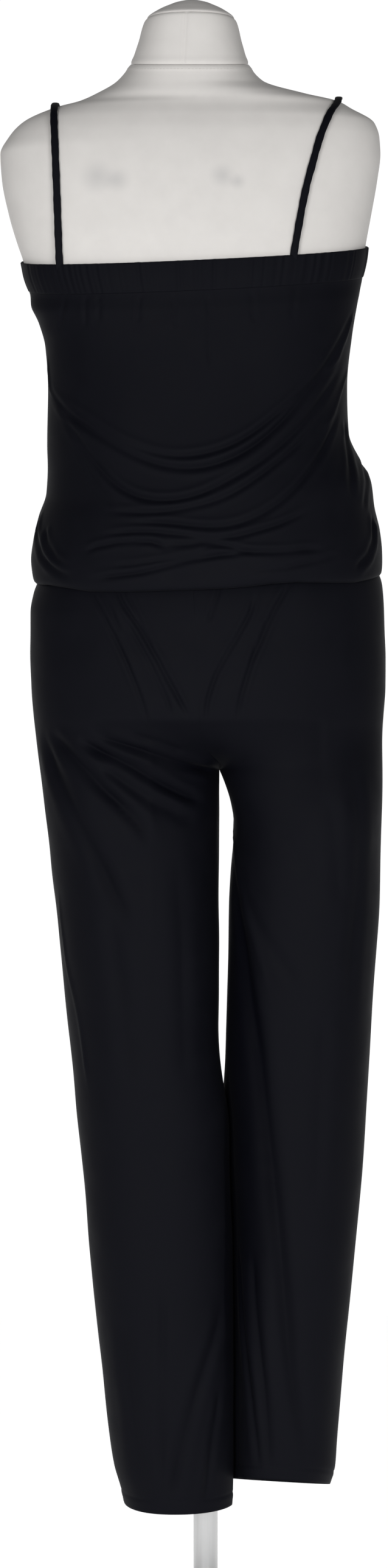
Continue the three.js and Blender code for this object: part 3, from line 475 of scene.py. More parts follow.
def new_object(name: str, bm: bmesh.types.BMesh, material: bpy.types.Material) -> bpy.types.Object:
    """Makes a smooth-shaded object of a finished bmesh.

    Args:
        name: The piece's name.
        bm: Its mesh, in metres. It is freed.
        material: Its finish.

    Returns:
        The object, at the origin.
    """
    mesh = bpy.data.meshes.new(name)
    for face in bm.faces:
        face.smooth = True
    bm.to_mesh(mesh)
    bm.free()
    piece = bpy.data.objects.new(name, mesh)
    bpy.context.scene.collection.objects.link(piece)
    piece.data.materials.append(material)
    return piece


def moved_grid(points: np.ndarray, flat: np.ndarray, closed_around: bool = False,
               shade: np.ndarray | None = None) -> bmesh.types.BMesh:
    """Lays a grid of cloth on points.

    Args:
        points: The place of each grid point, rows by columns, in millimetres.
        flat: The place of each point on the cloth as cut, in millimetres, kept as the UV map.
        closed_around: Whether the last column is sewn to the first.
        shade: How much painted shade darkens each point, kept as the attribute "shade".

    Returns:
        The mesh, in metres.
    """
    rows, columns = points.shape[:2]
    bm = bmesh.new()
    bmesh.ops.create_grid(bm, x_segments=columns - 1, y_segments=rows - 1, size=1, calc_uvs=True)
    bm.verts.ensure_lookup_table()
    places = np.array([vert.co.xy for vert in bm.verts])
    column = np.rint((places[:, 0] + 1) / 2 * (columns - 1)).astype(int)
    row = np.rint((1 - places[:, 1]) / 2 * (rows - 1)).astype(int)
    for vert, r, c in zip(bm.verts, row, column):
        vert.co = points[r, c] * MM
    if shade is not None:
        darker = bm.verts.layers.float.new("shade")
        for vert, r, c in zip(bm.verts, row, column):
            vert[darker] = float(shade[r, c])
    layer = bm.loops.layers.uv.verify()
    cut = flat * MM
    for face in bm.faces:
        for loop in face.loops:
            index = loop.vert.index
            loop[layer].uv = cut[row[index], column[index]]
    if closed_around:
        bmesh.ops.remove_doubles(bm, verts=bm.verts, dist=0.01 * MM)
    return bm


@dataclass
class Panel:
    """A piece of cloth as a grid of points over a surface."""

    name: str
    surface: Surface
    rows: np.ndarray
    start: float
    end: float
    columns: int

    def __post_init__(self) -> None:
        """Spaces the columns evenly along each row and finds the direction square to the cloth."""
        steps = 240
        around = np.linspace(self.start, self.end, steps + 1)
        fine = self.surface(self.rows[:, None] + 0 * around, around + 0 * self.rows[:, None])
        length = lengths_around(fine)
        shares = np.linspace(0, 1, self.columns + 1)
        placed = np.stack([np.interp(shares * row[-1], row, around) for row in length])
        self.down = np.repeat(self.rows[:, None], self.columns + 1, axis=1)
        self.around = placed
        self.base = self.surface(self.down, placed)
        self.flat = np.stack([shares * length[:, -1:], self.down], axis=-1)
        across = np.gradient(self.base, axis=1)
        fall = np.gradient(self.base, axis=0)
        self.outward = unit(np.cross(fall, across))
        self.points = self.base.copy()
        self.shade = np.zeros(self.down.shape)

    def softened(self, row: float, reach: float, weight: np.ndarray) -> None:
        """Rounds off a crease that runs along the rows.

        Args:
            row: The crease's place down the cloth.
            reach: How far up and down it is rounded off.
            weight: How strongly, at each column of each row.
        """
        share = weight * bell(self.down - row, reach)
        for _ in range(60):
            between = (self.base[:-2] + self.base[2:]) / 2
            self.base[1:-1] += (between - self.base[1:-1]) * 0.5 * share[1:-1, :, None]
        self.outward = unit(np.cross(np.gradient(self.base, axis=0), np.gradient(self.base, axis=1)))
        self.points = self.base.copy()

    def sewn(self, first: float, last: float | np.ndarray) -> None:
        """Draws the cloth in a little along the panel's two seams.

        Args:
            first: How far at the first column's seam.
            last: How far at the last column's seam.
        """
        from_first = np.abs(self.flat[..., 0])
        from_last = np.abs(self.flat[:, -1:, 0]) - from_first
        for groove, away in ((first, from_first), (last, from_last)):
            drawn_in = groove * (bell(away, 1.6) - 0.35 * bell(away - 4.5, 2.2))
            self.points = self.points - self.outward * drawn_in[..., None]

    def turned_up(self, depth: float, gap: float) -> None:
        """Turns the cloth's lower edge up inside itself and stitches it.

        Args:
            depth: How much cloth is turned up.
            gap: How far the two layers' middles are apart.
        """
        length = self.rows[-1]
        above = length - self.rows
        stitched = 0.45 * bell(above - depth + 2, 1.3) - 0.3 * bell(above - depth + 6, 3.0)
        self.points = self.points - self.outward * stitched[:, None, None]
        inner = []
        rows_up = np.concatenate([[0.4, 1.4, 3.0], np.linspace(5, depth, 5)])
        for up in rows_up:
            row = int(np.searchsorted(self.rows, length - up)) - 1
            share = (length - up - self.rows[row]) / (self.rows[row + 1] - self.rows[row])
            place = mix(self.points[row], self.points[row + 1], share)
            inner.append(place - self.outward[row] * gap * min(1.0, 0.6 + up / 3))
        self.points = np.concatenate([self.points, np.array(inner)])
        downs = length + rows_up
        self.shade = np.concatenate([self.shade, np.repeat(self.shade[-1:], len(downs), axis=0)])
        added = np.stack([np.repeat(self.flat[-1:, :, 0], len(downs), axis=0),
                          np.repeat(downs[:, None], self.columns + 1, axis=1)], axis=-1)
        self.flat = np.concatenate([self.flat, added])


@dataclass
class Folded:
    """Panels that share their folds, such as the back and the front of one tube of cloth."""

    panels: list[Panel]
    last_outer_row: float

    def __post_init__(self) -> None:
        """Turns every panel's outward direction to the outside and files the outer points for finding."""
        middle = np.concatenate([panel.base.reshape(-1, 3) for panel in self.panels]).mean(axis=0)
        for panel in self.panels:
            away = (panel.base - middle)[..., :2]
            if np.mean(np.sum(panel.outward[..., :2] * away, axis=-1)) < 0:
                panel.outward = -panel.outward
        outer = [panel.down <= self.last_outer_row for panel in self.panels]
        self.spots = np.concatenate([panel.base[shown] for panel, shown in zip(self.panels, outer)])
        self.facing = np.concatenate([panel.outward[shown] for panel, shown in zip(self.panels, outer)])
        self.tree = self._filed(self.spots, np.arange(len(self.spots)))
        self.from_side = {}
        for side in Side:
            kept = np.flatnonzero(self.facing[:, 1] * side.value > -0.02)
            self.from_side[side] = self._filed(self.spots[kept] * (1, 0, 1), kept)

    @staticmethod
    def _filed(spots: np.ndarray, numbers: np.ndarray) -> kdtree.KDTree:
        """Files spots in a tree, each under its number."""
        tree = kdtree.KDTree(len(spots))
        for spot, number in zip(spots, numbers):
            tree.insert(spot, int(number))
        tree.balance()
        return tree

    def _run_on(self, start: np.ndarray, before: np.ndarray, length: float) -> list[np.ndarray]:
        """Follows the cloth on past a fold's end.

        Args:
            start: The fold's end.
            before: A point of the fold a little before it.
            length: How far to go.

        Returns:
            The points passed, the nearest first.
        """
        step = 6.0
        here = Vector(start)
        going = Vector(start - before).normalized()
        passed = []
        for _ in range(int(length / step)):
            ahead = Vector(self.spots[self.tree.find(here + going * step)[1]])
            move = ahead - here
            if move.length < 0.3 * step:
                break
            going = (going + move.normalized()).normalized()
            here = here + (ahead - here) * 0.9
            passed.append(np.array(here))
        return passed

    def _route(self, fold: Fold) -> np.ndarray:
        """Seats a fold's curve on the cloth.

        Args:
            fold: The fold, drawn in X and Z.

        Returns:
            Its points in space, evenly spaced.
        """
        tree = self.from_side[fold.side]
        seated = np.array([self.spots[tree.find((x, 0, z))[1]] for x, z in fold.drawn(36)])
        seated = smoothed(seated, 3)
        before = self._run_on(seated[0], seated[2], fold.run_on)
        after = self._run_on(seated[-1], seated[-3], fold.run_on)
        return smoothed(evenly(np.array([*before[::-1], *seated, *after]), 96), 22)

    def press(self, folds: list[Fold], fade: Callable[[Panel], np.ndarray], room: Callable[[Panel], np.ndarray],
              waves: float, seed: int) -> None:
        """Presses the folds into the cloth and paints shade into their troughs.

        Args:
            folds: The folds.
            fade: How strongly they show at each point of a panel.
            room: How far each point of a panel may go inwards.
            waves: The height of the gentle unevenness all over.
            seed: The number that the unevenness starts from.
        """
        routes = [(fold, self._route(fold)) for fold in folds]
        for panel in self.panels:
            spots = panel.base.reshape(-1, 3)
            facing = panel.outward.reshape(-1, 3)
            lift = unevenness(spots, seed) * waves
            for fold, route in routes:
                reach = 5 * fold.width
                near = np.flatnonzero(
                    np.all((spots > route.min(axis=0) - reach) & (spots < route.max(axis=0) + reach), axis=1))
                if len(near):
                    lift[near] += self._profile(fold, route, spots[near], facing[near])
            moved = lift.reshape(panel.down.shape) * fade(panel)
            # Painted shade: the fold troughs darken the knit's colour, more the deeper they are.
            panel.shade = panel.shade + 0.4 * ease(0.3, 3.4, -moved)
            moved = np.maximum(moved, -room(panel))
            panel.points = panel.base + panel.outward * moved[..., None]

    @staticmethod
    def _profile(fold: Fold, route: np.ndarray, spots: np.ndarray, facing: np.ndarray) -> np.ndarray:
        """Gives a fold's height at each spot.

        Args:
            fold: The fold.
            route: Its seated route.
            spots: Places on the cloth.
            facing: The direction out of the cloth at each.

        Returns:
            The height there, below 0 in the trough.
        """
        last = len(route) - 1
        nearest = np.argmin(np.sum((spots[:, None, :] - route[None, :, :]) ** 2, axis=2), axis=1)
        best = np.full(len(spots), np.inf)
        along = np.zeros(len(spots))
        offset = np.zeros_like(spots)
        for first in (np.clip(nearest - 1, 0, last - 1), np.clip(nearest, 0, last - 1)):
            start = route[first]
            span = route[first + 1] - start
            t = np.sum((spots - start) * span, axis=1) / np.maximum(np.sum(span ** 2, axis=1), 1e-9)
            t = np.clip(t, 0, 1)
            apart = spots - start - span * t[:, None]
            distance = np.sum(apart ** 2, axis=1)
            closer = distance < best
            best = np.where(closer, distance, best)
            along = np.where(closer, (first + t) / last, along)
            offset = np.where(closer[:, None], apart, offset)
        heading = unit(np.gradient(route, axis=0))
        share = np.linspace(0, 1, last + 1)
        ahead = np.stack([np.interp(along, share, heading[:, axis]) for axis in range(3)], axis=1)
        upward = unit(np.cross(facing, ahead))
        level = np.mean(upward[:, 2])
        upward *= 1 if (level if abs(level) > 0.3 else np.mean(upward[:, 0])) > 0 else -1
        slow = 1 + 0.2 * np.sin(FULL_TURN * 1.7 * along + fold.path[0][0])
        signed = np.sum(offset * upward, axis=1) / (fold.width * (1.15 - 0.15 * slow))
        off_end = np.sqrt(np.maximum(best - np.sum(offset * upward, axis=1) ** 2, 0))
        ends = ease(0, 0.16, along) * ease(0, 0.16, 1 - along) * (1 - ease(8, 20, off_end))
        trough = np.exp(-1.1 * np.abs(signed) ** 1.6)
        ridges = fold.above * bell(signed - 1.8, 1.0) + fold.below * bell(signed + 1.8, 1.0)
        return fold.depth * slow * ends * (ridges - trough)


def unevenness(spots: np.ndarray, seed: int) -> np.ndarray:
    """Gives a gentle, seeded unevenness of height about 1.

    Args:
        spots: Places in space.
        seed: The number that it starts from.

    Returns:
        The height at each place.
    """
    rng = np.random.default_rng(seed)
    total = np.zeros(len(spots))
    for _ in range(14):
        heading = rng.normal(size=3)
        heading[2] *= 0.6
        heading /= np.linalg.norm(heading)
        wavelength = rng.uniform(35, 140)
        total += np.sin(spots @ heading * FULL_TURN / wavelength + rng.uniform(0, FULL_TURN)) * wavelength / 140
    return total / 3


def form_point(height: np.ndarray, angle: np.ndarray) -> np.ndarray:
    """Gives points of the form's surface.

    Args:
        height: Their heights before the section leans.
        angle: Their angles.

    Returns:
        The points.
    """
    size = FORM_SIZE(height)
    point = on_section(size, angle)
    facing = np.maximum(0, -np.sin(angle))
    point[..., 1] -= facing * bust(point[..., 0], height, BUST_RADIUS)
    point[..., 2] = height - size["lean"] * point[..., 1]
    return point


def clear_of_form(points: np.ndarray, outward: np.ndarray) -> np.ndarray:
    """Tells how far each point is from the form.

    Args:
        points: The points.
        outward: The direction out of the cloth at each.

    Returns:
        About the distance, far away where there is no form.
    """
    size = FORM_SIZE(points[..., 2])
    middle = (size["left"] - size["right"]) / 2
    across = (size["left"] + size["right"]) / 2
    depth = np.where(points[..., 1] >= 0, size["back"], size["front"])
    from_middle = np.stack([points[..., 0] - middle, points[..., 1]], axis=-1)
    grown = (np.abs(from_middle[..., 0] / across) ** SQUARENESS
             + np.abs(from_middle[..., 1] / depth) ** SQUARENESS) ** (1 / SQUARENESS)
    radial = np.abs(np.sum(from_middle * outward[..., :2], axis=-1))
    swell = np.where(points[..., 1] < 0, bust(points[..., 0], points[..., 2], BUST_RADIUS), 0)
    gap = radial * (1 - 1 / np.maximum(grown, 1e-6)) - swell
    return np.where(points[..., 2] < FORM_BOTTOM - 2, 60, gap)


def band_point(below: np.ndarray, angle: np.ndarray) -> np.ndarray:
    """Gives points of the band's middle layer.

    Args:
        below: How far below the top edge.
        angle: Their angles round the body.

    Returns:
        The points.
    """
    height = np.full_like(angle, BAND_TOP)
    for _ in range(6):
        point = form_point(height, angle)
        height = BAND_TOP - below - FALL_TO_LEFT * point[..., 0] - FALL_TO_BACK * point[..., 1]
    point = point + outward_on_section(FORM_SIZE(height), angle) * (BAND_CLEARANCE + BAND_CLOTH / 2)
    point[..., 2] = height
    return point


def bodice_point(down: np.ndarray, angle: np.ndarray) -> np.ndarray:
    """Gives points of the bodice before its folds.

    Args:
        down: The length along the cloth from the band's seam.
        angle: Their angles round the body.

    Returns:
        The points.
    """
    size = BODICE_SIZE(down)
    point = on_section(size, angle)
    facing = np.maximum(0, -np.sin(angle))
    pouch = 1 - ease(285, 305, down)
    point[..., 1] -= facing * pouch * bust(point[..., 0], size["height"], 110) * (1 - ease(120, 240, down))
    fall = FALL_TO_LEFT * point[..., 0] + FALL_TO_BACK * point[..., 1]
    point[..., 2] = size["height"] - size["tilt"] * fall
    raised_behind = np.interp(point[..., 0], *POUCH_EDGE_BEHIND)
    raised_in_front = np.interp(point[..., 0], *POUCH_EDGE_IN_FRONT)
    raised = np.where(point[..., 1] > 0, raised_behind, raised_in_front)
    point[..., 2] += raised * ease(225, 296, down) * (1 - ease(318, 334, down))
    hung = ease(0, 18, down)[..., None]
    return mix(band_point(BAND_HEIGHT + down, angle), point, hung)


def hollow_behind(x: np.ndarray, height: np.ndarray) -> np.ndarray:
    """Tells how far the cloth sinks in behind, below the form's bottom edge."""
    wide = ease(-150, -96, x) * (1 - ease(92, 140, x))
    deep = bell(x - 18, 48)
    edge = 1.4 * (1 - ease(949, 957, height)) * ease(-124, -112, x) * (1 - ease(104, 122, x))
    sag = (1 - ease(896, 954, height)) * ease(740, 900, height)
    return edge * ease(880, 944, height) + sag * (3.0 * wide + 5.0 * deep)


def hollow_in_front(x: np.ndarray, height: np.ndarray) -> np.ndarray:
    """Tells how far the cloth sinks in, in front, below the form's bottom edge."""
    step = 1 - ease(930, 950, height)
    return 3.0 * step * ease(800, 930, height) * np.exp(-(x / 100) ** 4)


def painted_shade_below_form(points: np.ndarray) -> np.ndarray:
    """Tells how much painted shade darkens the knit below the form's bottom edge and at the crotch.

    Args:
        points: Places on the cloth.

    Returns:
        The share, from 0 to 1.
    """
    x, y, height = (points[..., axis] for axis in range(3))
    wide = ease(-120, -113, x) * (1 - ease(98, 122, x))
    deep = bell(x - 20, 46)
    below = (1 - ease(949.5, 956, height)) * ease(815, 925, height)
    # Painted shadow at the crotch.
    crotch = np.exp(-((x + 12) / 11) ** 2 - ((height - 908) / 20) ** 2)
    behind = np.minimum(below * (0.24 * wide + 0.36 * deep) + 0.6 * crotch, 1)
    return np.where(y > 0, behind, 0.3 * below * wide)


@dataclass(frozen=True)
class LegCut:
    """The cut of one trouser leg."""

    name: str
    left: bool
    size: Sections
    hem: float
    to_left: float
    to_back: float
    middle: float

    @property
    def length(self) -> float:
        """The length down the cloth, from the hip's seam to the hem."""
        return RISE + CROTCH_TURN + CROTCH - self.hem

    @staticmethod
    def row_at(down: np.ndarray, share: np.ndarray) -> tuple[np.ndarray, np.ndarray]:
        """Tells where a row lies: straight down the hip, round the crotch, then down the leg.

        Args:
            down: The length down the cloth.
            share: 0 at the side and 1 at the seam.

        Returns:
            The height, and how far the row has turned under the crotch.
        """
        bend = np.clip((down - RISE) / CROTCH_DROP, 0, HALF_TURN / 2)
        at_seam = RISE_END - CROTCH_DROP * np.sin(bend)
        at_side = RISE_END - CROTCH_DROP * bend / (HALF_TURN / 2)
        height = mix(at_side, at_seam, ease(0.5, 1, share))
        height = np.where(down < RISE, HIP_SEAM - down, height)
        height = np.where(down > RISE + CROTCH_TURN, CROTCH - (down - RISE - CROTCH_TURN), height)
        return height, 1 - np.cos(bend)

    def point(self, down: np.ndarray, across: np.ndarray) -> np.ndarray:
        """Gives points of the leg before its folds.

        Args:
            down: The length down the cloth.
            across: From 1 at the back seam through 0 at the side to -1 at the front seam.

        Returns:
            The points.
        """
        share = np.abs(across)
        height, turn = self.row_at(down, share)
        back = across >= 0
        ring = HIP_SIZE(height)
        centre = CENTRE_SEAM(height)
        seam = np.where(back, centre["back"], centre["front"])
        seam_angle = angle_at(ring, seam)
        leg = self.size(height)
        reach = {"back": leg["back"], "front": leg["front"]}
        if self.left:
            hip_angle = seam_angle * share
            leg_angle = HALF_TURN * share
            reach.update(left=leg["outer"], right=-leg["inner"])
        else:
            hip_angle = HALF_TURN - (HALF_TURN - seam_angle) * share
            leg_angle = HALF_TURN * (1 - share)
            reach.update(left=leg["inner"], right=-leg["outer"])
        sign = np.where(back, 1, -1)
        whole_leg = ease(LEG_SHAPE_START, LEG_SHAPE_END, height)
        shape = mix(whole_leg, turn, ease(0.6, 1, share))
        point = mix(on_section(ring, sign * hip_angle), on_section(reach, sign * leg_angle), shape[..., None])
        outward = unit(mix(outward_on_section(ring, sign * hip_angle),
                           outward_on_section(reach, sign * leg_angle), shape[..., None]))
        left_inner = LEFT_LEG_SIZE(height)["inner"]
        right_inner = RIGHT_LEG_SIZE(height)["inner"]
        seam_height, seam_turn = self.row_at(down, np.ones_like(share))
        seam_centre = CENTRE_SEAM(seam_height)
        legs = (LEFT_LEG_SIZE(seam_height)["inner"] + RIGHT_LEG_SIZE(seam_height)["inner"]) / 2
        parting = mix(np.where(back, seam_centre["back"], seam_centre["front"]), legs, ease(0, 0.5, seam_turn))
        to_parting = (left_inner - right_inner) / 2 * (1 if self.left else -1)
        wanted = parting + to_parting * ease(0.9, 1, turn)
        point[..., 0] += (wanted - mix(seam, leg["inner"], turn)) * ease(0.5, 1, share)
        fall = FALL_TO_LEFT * point[..., 0] + FALL_TO_BACK * point[..., 1]
        point[..., 2] = height - ring["tilt"] * fall
        fullness = CROTCH_FULLNESS * 4 * shape * (1 - shape) * np.sin(HALF_TURN * share)
        point = point + outward * fullness[..., None]
        point[..., 0] = np.maximum(point[..., 0], parting) if self.left else np.minimum(point[..., 0], parting)
        x, above_floor = point[..., 0], point[..., 2]
        sunk = np.where(back, hollow_behind(x, above_floor), hollow_in_front(x, above_floor))
        point[..., 1] -= sunk * outward[..., 1] * np.abs(outward[..., 1])
        touching = (1 - ease(520, 620, height)) * ease(0.55, 0.95, share)
        point[..., 0] -= 0.3 * np.clip(point[..., 1], -14, 22) * touching
        hem = 1 - ease(self.hem, HEM_TILT_START, height)
        point[..., 2] += hem * (self.to_left * (point[..., 0] - self.middle) + self.to_back * point[..., 1])
        return point


LEFT_LEG = LegCut("left", True, LEFT_LEG_SIZE, 144, 0, 0, 30)
RIGHT_LEG = LegCut("right", False, RIGHT_LEG_SIZE, 163, 0.06, 0.26, -77)


# The gathers that the elastic draws in behind, as X, depth and reach.
BAND_GATHERS = (
    (158, 0.3, 2.0), (152, 0.35, 1.8), (146, 0.4, 2.0), (140, 0.5, 2.2), (134, 0.35, 1.8), (129, 0.35, 1.8),
    (122, 0.5, 2.2), (116, 0.3, 1.6), (112, 0.4, 2.0), (100, 0.2, 2.0), (85, 0.2, 2.4), (68, 0.9, 2.4),
    (50, 0.2, 2.0), (28, 0.7, 2.0), (22, 0.3, 1.6), (10, 0.7, 2.0), (2, 0.4, 1.8), (-8, 0.6, 2.0),
    (-24, 0.3, 2.2), (-46, 0.3, 2.4), (-80, 0.25, 2.6), (-104, 0.3, 2.4), (-128, 0.25, 2.4),
)


def shoulder_height(x: float) -> float:
    """Gives the height of the shoulder's ridge at one X."""
    low, high = 1560.0, NECK_SEAM
    for _ in range(24):
        middle = (low + high) / 2
        size = FORM_SIZE(np.array(middle))
        if float(size["left"] if x > 0 else size["right"]) > abs(x):
            low = middle
        else:
            high = middle
    return low


@dataclass(frozen=True)
class StrapRoute:
    """The way of one strap over the shoulder, as heights and X places behind and in front."""

    name: str
    behind: tuple[tuple[float, float], ...]
    top: float
    in_front: tuple[tuple[float, float], ...]
    end_behind: float
    end_in_front: float
    width: float = 7.5
    thickness: float = 3.5
    clearance: float = 1.7

    def _on_form(self, side: Side, height: float, x: float) -> np.ndarray:
        """Gives the strap's middle over one place of the form."""
        angle = angle_at(FORM_SIZE(np.array(height)), np.array(x))
        if side is Side.BACK:
            around = np.array(float(angle))
        else:
            around = np.array(FULL_TURN - float(angle) if x < 0 else -float(angle))
        level = np.array(height)
        here = form_point(level, around)
        step = 0.5
        up = form_point(np.minimum(level + step, CAP_TOP - 4), around) - form_point(level - step, around)
        aside = form_point(level, around + 0.01) - form_point(level, around - 0.01)
        outward = unit(np.cross(aside, up))
        return here + outward * (self.clearance + self.thickness / 2)

    def _end(self, side: Side, x: float, below: float) -> tuple[float, np.ndarray]:
        """Gives the form's height and the strap's place where it meets the band.

        Args:
            side: Behind or in front.
            x: The X of the strap's end.
            below: How far below the band's upper edge the place is.

        Returns:
            The height and the place.
        """
        height = BAND_TOP
        for _ in range(6):
            place = self._on_form(side, height, x)
            height = BAND_TOP - below - FALL_TO_LEFT * float(place[0]) - FALL_TO_BACK * float(place[1])
        return height, place

    def middle(self) -> np.ndarray:
        """Gives the strap's middle line from the band behind to the band in front.

        Returns:
            Its points.
        """
        start, _ = self._end(Side.BACK, self.end_behind, -3)
        finish, _ = self._end(Side.FRONT, self.end_in_front, -3)
        keys = [(Side.BACK, start, self.end_behind), *((Side.BACK, *key) for key in self.behind),
                (Side.BACK, shoulder_height(self.top), self.top), *((Side.FRONT, *key) for key in self.in_front),
                (Side.FRONT, finish, self.end_in_front)]
        ridge = len(self.behind) + 1
        points = [self._on_form(*keys[0])]
        for number, (before, after) in enumerate(zip(keys, keys[1:]), start=1):
            side, end_height, end_x = after
            for share in (0.25, 0.5, 0.75, 1.0):
                level = share
                if number == ridge:
                    level = 1 - (1 - share) ** 2
                elif number == ridge + 1:
                    level = share ** 2
                points.append(self._on_form(side, mix(before[1], end_height, level), mix(before[2], end_x, share)))
        way = smoothed(evenly(np.array(points), 150), 6)
        tucked = []
        inwards = self.clearance + self.thickness / 2 - BAND_CLEARANCE - BAND_CLOTH / 2
        for side, x in ((Side.BACK, self.end_behind), (Side.FRONT, self.end_in_front)):
            ends = []
            for below in (1.5, 5.0):
                place = self._end(side, x, below)[1]
                size = FORM_SIZE(place[2] + 0 * place[:1])
                facing = outward_on_section(size, angle_at(size, place[:1]) * side.value)[0]
                ends.append(place - facing * inwards)
            tucked.append(ends)
        whole = np.array([tucked[0][1], tucked[0][0], *way, tucked[1][0], tucked[1][1]])
        return smoothed(evenly(whole, 170), 4)


LEFT_STRAP = StrapRoute(
    "strap_left", ((1494, 150), (1545, 152.5), (1568, 154), (1578, 154)), 154,
    ((1578, 152), (1566, 149), (1540, 140), (1500, 121)), 147, 100)
RIGHT_STRAP = StrapRoute(
    "strap_right", ((1470, -96), (1494, -101), (1544, -115), (1568, -125), (1580, -133)), -137,
    ((1580, -134), (1566, -129), (1540, -119), (1500, -104)), -88, -86)


class Nodes:
    """A tree of shader nodes, added one at a time."""

    def __init__(self, tree: bpy.types.NodeTree) -> None:
        """Keeps the tree that the nodes go into."""
        self.tree = tree

    def node(self, kind: str, inputs: dict | None = None, **settings) -> bpy.types.Node:
        """Adds a node.

        Args:
            kind: The node's type.
            inputs: Values or linked sockets for its inputs, by name or number.
            settings: Its own settings.

        Returns:
            The node.
        """
        made = self.tree.nodes.new(kind)
        for name, value in settings.items():
            setattr(made, name, value)
        for name, value in (inputs or {}).items():
            if isinstance(value, bpy.types.NodeSocket):
                self.tree.links.new(value, made.inputs[name])
            else:
                made.inputs[name].default_value = value
        return made

    def math(self, operation: str, *values: object) -> bpy.types.NodeSocket:
        """Reckons with two or three values or sockets."""
        return self.node("ShaderNodeMath", dict(enumerate(values)), operation=operation).outputs[0]

    def ranged(self, value: bpy.types.NodeSocket, before: tuple[float, float], after: tuple[float, float],
               **settings) -> bpy.types.NodeSocket:
        """Takes a value from one range to another.

        Args:
            value: The value.
            before: The range that it has.
            after: The range that it gets.
            settings: The node's own settings.

        Returns:
            The value in its new range.
        """
        inputs = {"Value": value, 1: before[0], 2: before[1], 3: after[0], 4: after[1]}
        return self.node("ShaderNodeMapRange", inputs, **settings).outputs[0]

    def blend(self, share: bpy.types.NodeSocket, first: object, second: object) -> bpy.types.NodeSocket:
        """Mixes two colours.

        Args:
            share: How much of the second shows.
            first: A colour or a socket.
            second: A colour or a socket.

        Returns:
            The mixed colour.
        """
        return self.node("ShaderNodeMix", {0: share, 6: first, 7: second}, data_type="RGBA").outputs[2]


class Shader(Nodes):
    """A material's nodes, with its Principled shader."""

    def __init__(self, name: str) -> None:
        """Starts the material."""
        self.material = bpy.data.materials.new(name)
        self.material.use_nodes = True
        super().__init__(self.material.node_tree)
        self.surface = self.tree.nodes["Principled BSDF"]

    def set(self, **inputs) -> None:
        """Sets or links the shader's own sockets, named with underscores for spaces."""
        for name, value in inputs.items():
            socket = self.surface.inputs[name.replace("_", " ")]
            if isinstance(value, bpy.types.NodeSocket):
                self.tree.links.new(value, socket)
            else:
                socket.default_value = value


@dataclass(frozen=True)
class Knit:
    """A fine knitted cloth.

    Its wale and its course, a stitch's width and height, are in metres, and its smudges are X, Z and reach in
    millimetres. Where the painted shade on the cloth's points is 1, its colour is cut to darkest, and its blue
    less.
    """

    name: str
    colour: tuple[float, float, float]
    varied: tuple[float, float, float]
    roughness: float
    gloss: float
    sheen: float
    sheen_roughness: float
    wale: float
    course: float
    relief: float
    smudges: tuple[tuple[float, float, float], ...] = ()
    smudge_colour: tuple[float, float, float] = (0.30, 0.30, 0.31)
    smudge_strength: float = 0.34
    darkest: float = 1.0
    blue_kept: float = 8.0
    uneven_roughness: float = 0.04

    def material(self) -> bpy.types.Material:
        """Makes the cloth's material on its own UV map, which is the flat cloth in metres.

        Returns:
            The material.
        """
        shader = Shader(self.name)
        cloth = shader.node("ShaderNodeUVMap", uv_map="UVMap").outputs["UV"]
        place = shader.node("ShaderNodeTexCoord").outputs["Object"]
        period = FULL_TURN / 20
        waves = []
        for direction, size, distortion in (("X", self.wale, 0.6), ("Y", self.course, 0.8)):
            inputs = {"Vector": cloth, "Scale": period / size, "Distortion": distortion, "Detail": 1.0,
                      "Detail Scale": 2.0}
            wave = shader.node("ShaderNodeTexWave", inputs, wave_type="BANDS", bands_direction=direction)
            waves.append(wave.outputs["Fac"])
        stitches = shader.math("MULTIPLY", *waves)
        soft = shader.node("ShaderNodeTexNoise", {"Vector": place, "Scale": 42.0, "Detail": 3.0,
                                                  "Roughness": 0.55}).outputs["Fac"]
        fine = shader.node("ShaderNodeTexNoise", {"Vector": cloth, "Scale": 1500.0, "Detail": 2.0})
        relief = shader.node("ShaderNodeBump", {"Strength": self.relief, "Distance": 0.00025, "Height": stitches})
        fuzz = shader.node("ShaderNodeBump", {"Strength": self.relief * 0.5, "Distance": 0.0002,
                                              "Height": fine.outputs["Fac"], "Normal": relief.outputs["Normal"]})
        patches = shader.ranged(soft, (0.3, 0.7), (0.0, 1.0))
        tone = shader.blend(patches, (*self.colour, 1), (*self.varied, 1))
        # Painted shade: the "shade" attribute darkens the colour in fold troughs, hollows and between the legs.
        if self.darkest < 1:
            shade = shader.node("ShaderNodeAttribute", attribute_name="shade").outputs["Fac"]
            darker = (0, self.darkest * self.colour[1], self.blue_kept * self.darkest * self.colour[2], 1)
            tone = shader.blend(shade, tone, darker)
        parts = shader.node("ShaderNodeSeparateXYZ", {0: place})
        for x, z, reach in self.smudges:
            across = shader.math("SUBTRACT", parts.outputs["X"], x * MM)
            up = shader.math("SUBTRACT", parts.outputs["Z"], z * MM)
            both = shader.node("ShaderNodeCombineXYZ", {"X": across, "Y": up})
            away = shader.node("ShaderNodeVectorMath", {0: both.outputs[0]}, operation="LENGTH")
            ragged = shader.math("MULTIPLY_ADD", soft, 0.012, away.outputs["Value"])
            mark = shader.ranged(ragged, (0.004, (6 + reach) * MM), (self.smudge_strength, 0.0),
                                 interpolation_type="SMOOTHSTEP")
            tone = shader.blend(mark, tone, (*self.smudge_colour, 1))
        worn = shader.ranged(soft, (0.3, 0.7), (self.roughness - self.uneven_roughness,
                                                self.roughness + self.uneven_roughness))
        shader.set(Base_Color=tone, Roughness=worn, Sheen_Weight=self.sheen, Sheen_Roughness=self.sheen_roughness,
                   Specular_IOR_Level=self.gloss, Normal=fuzz.outputs["Normal"])
        return shader.material


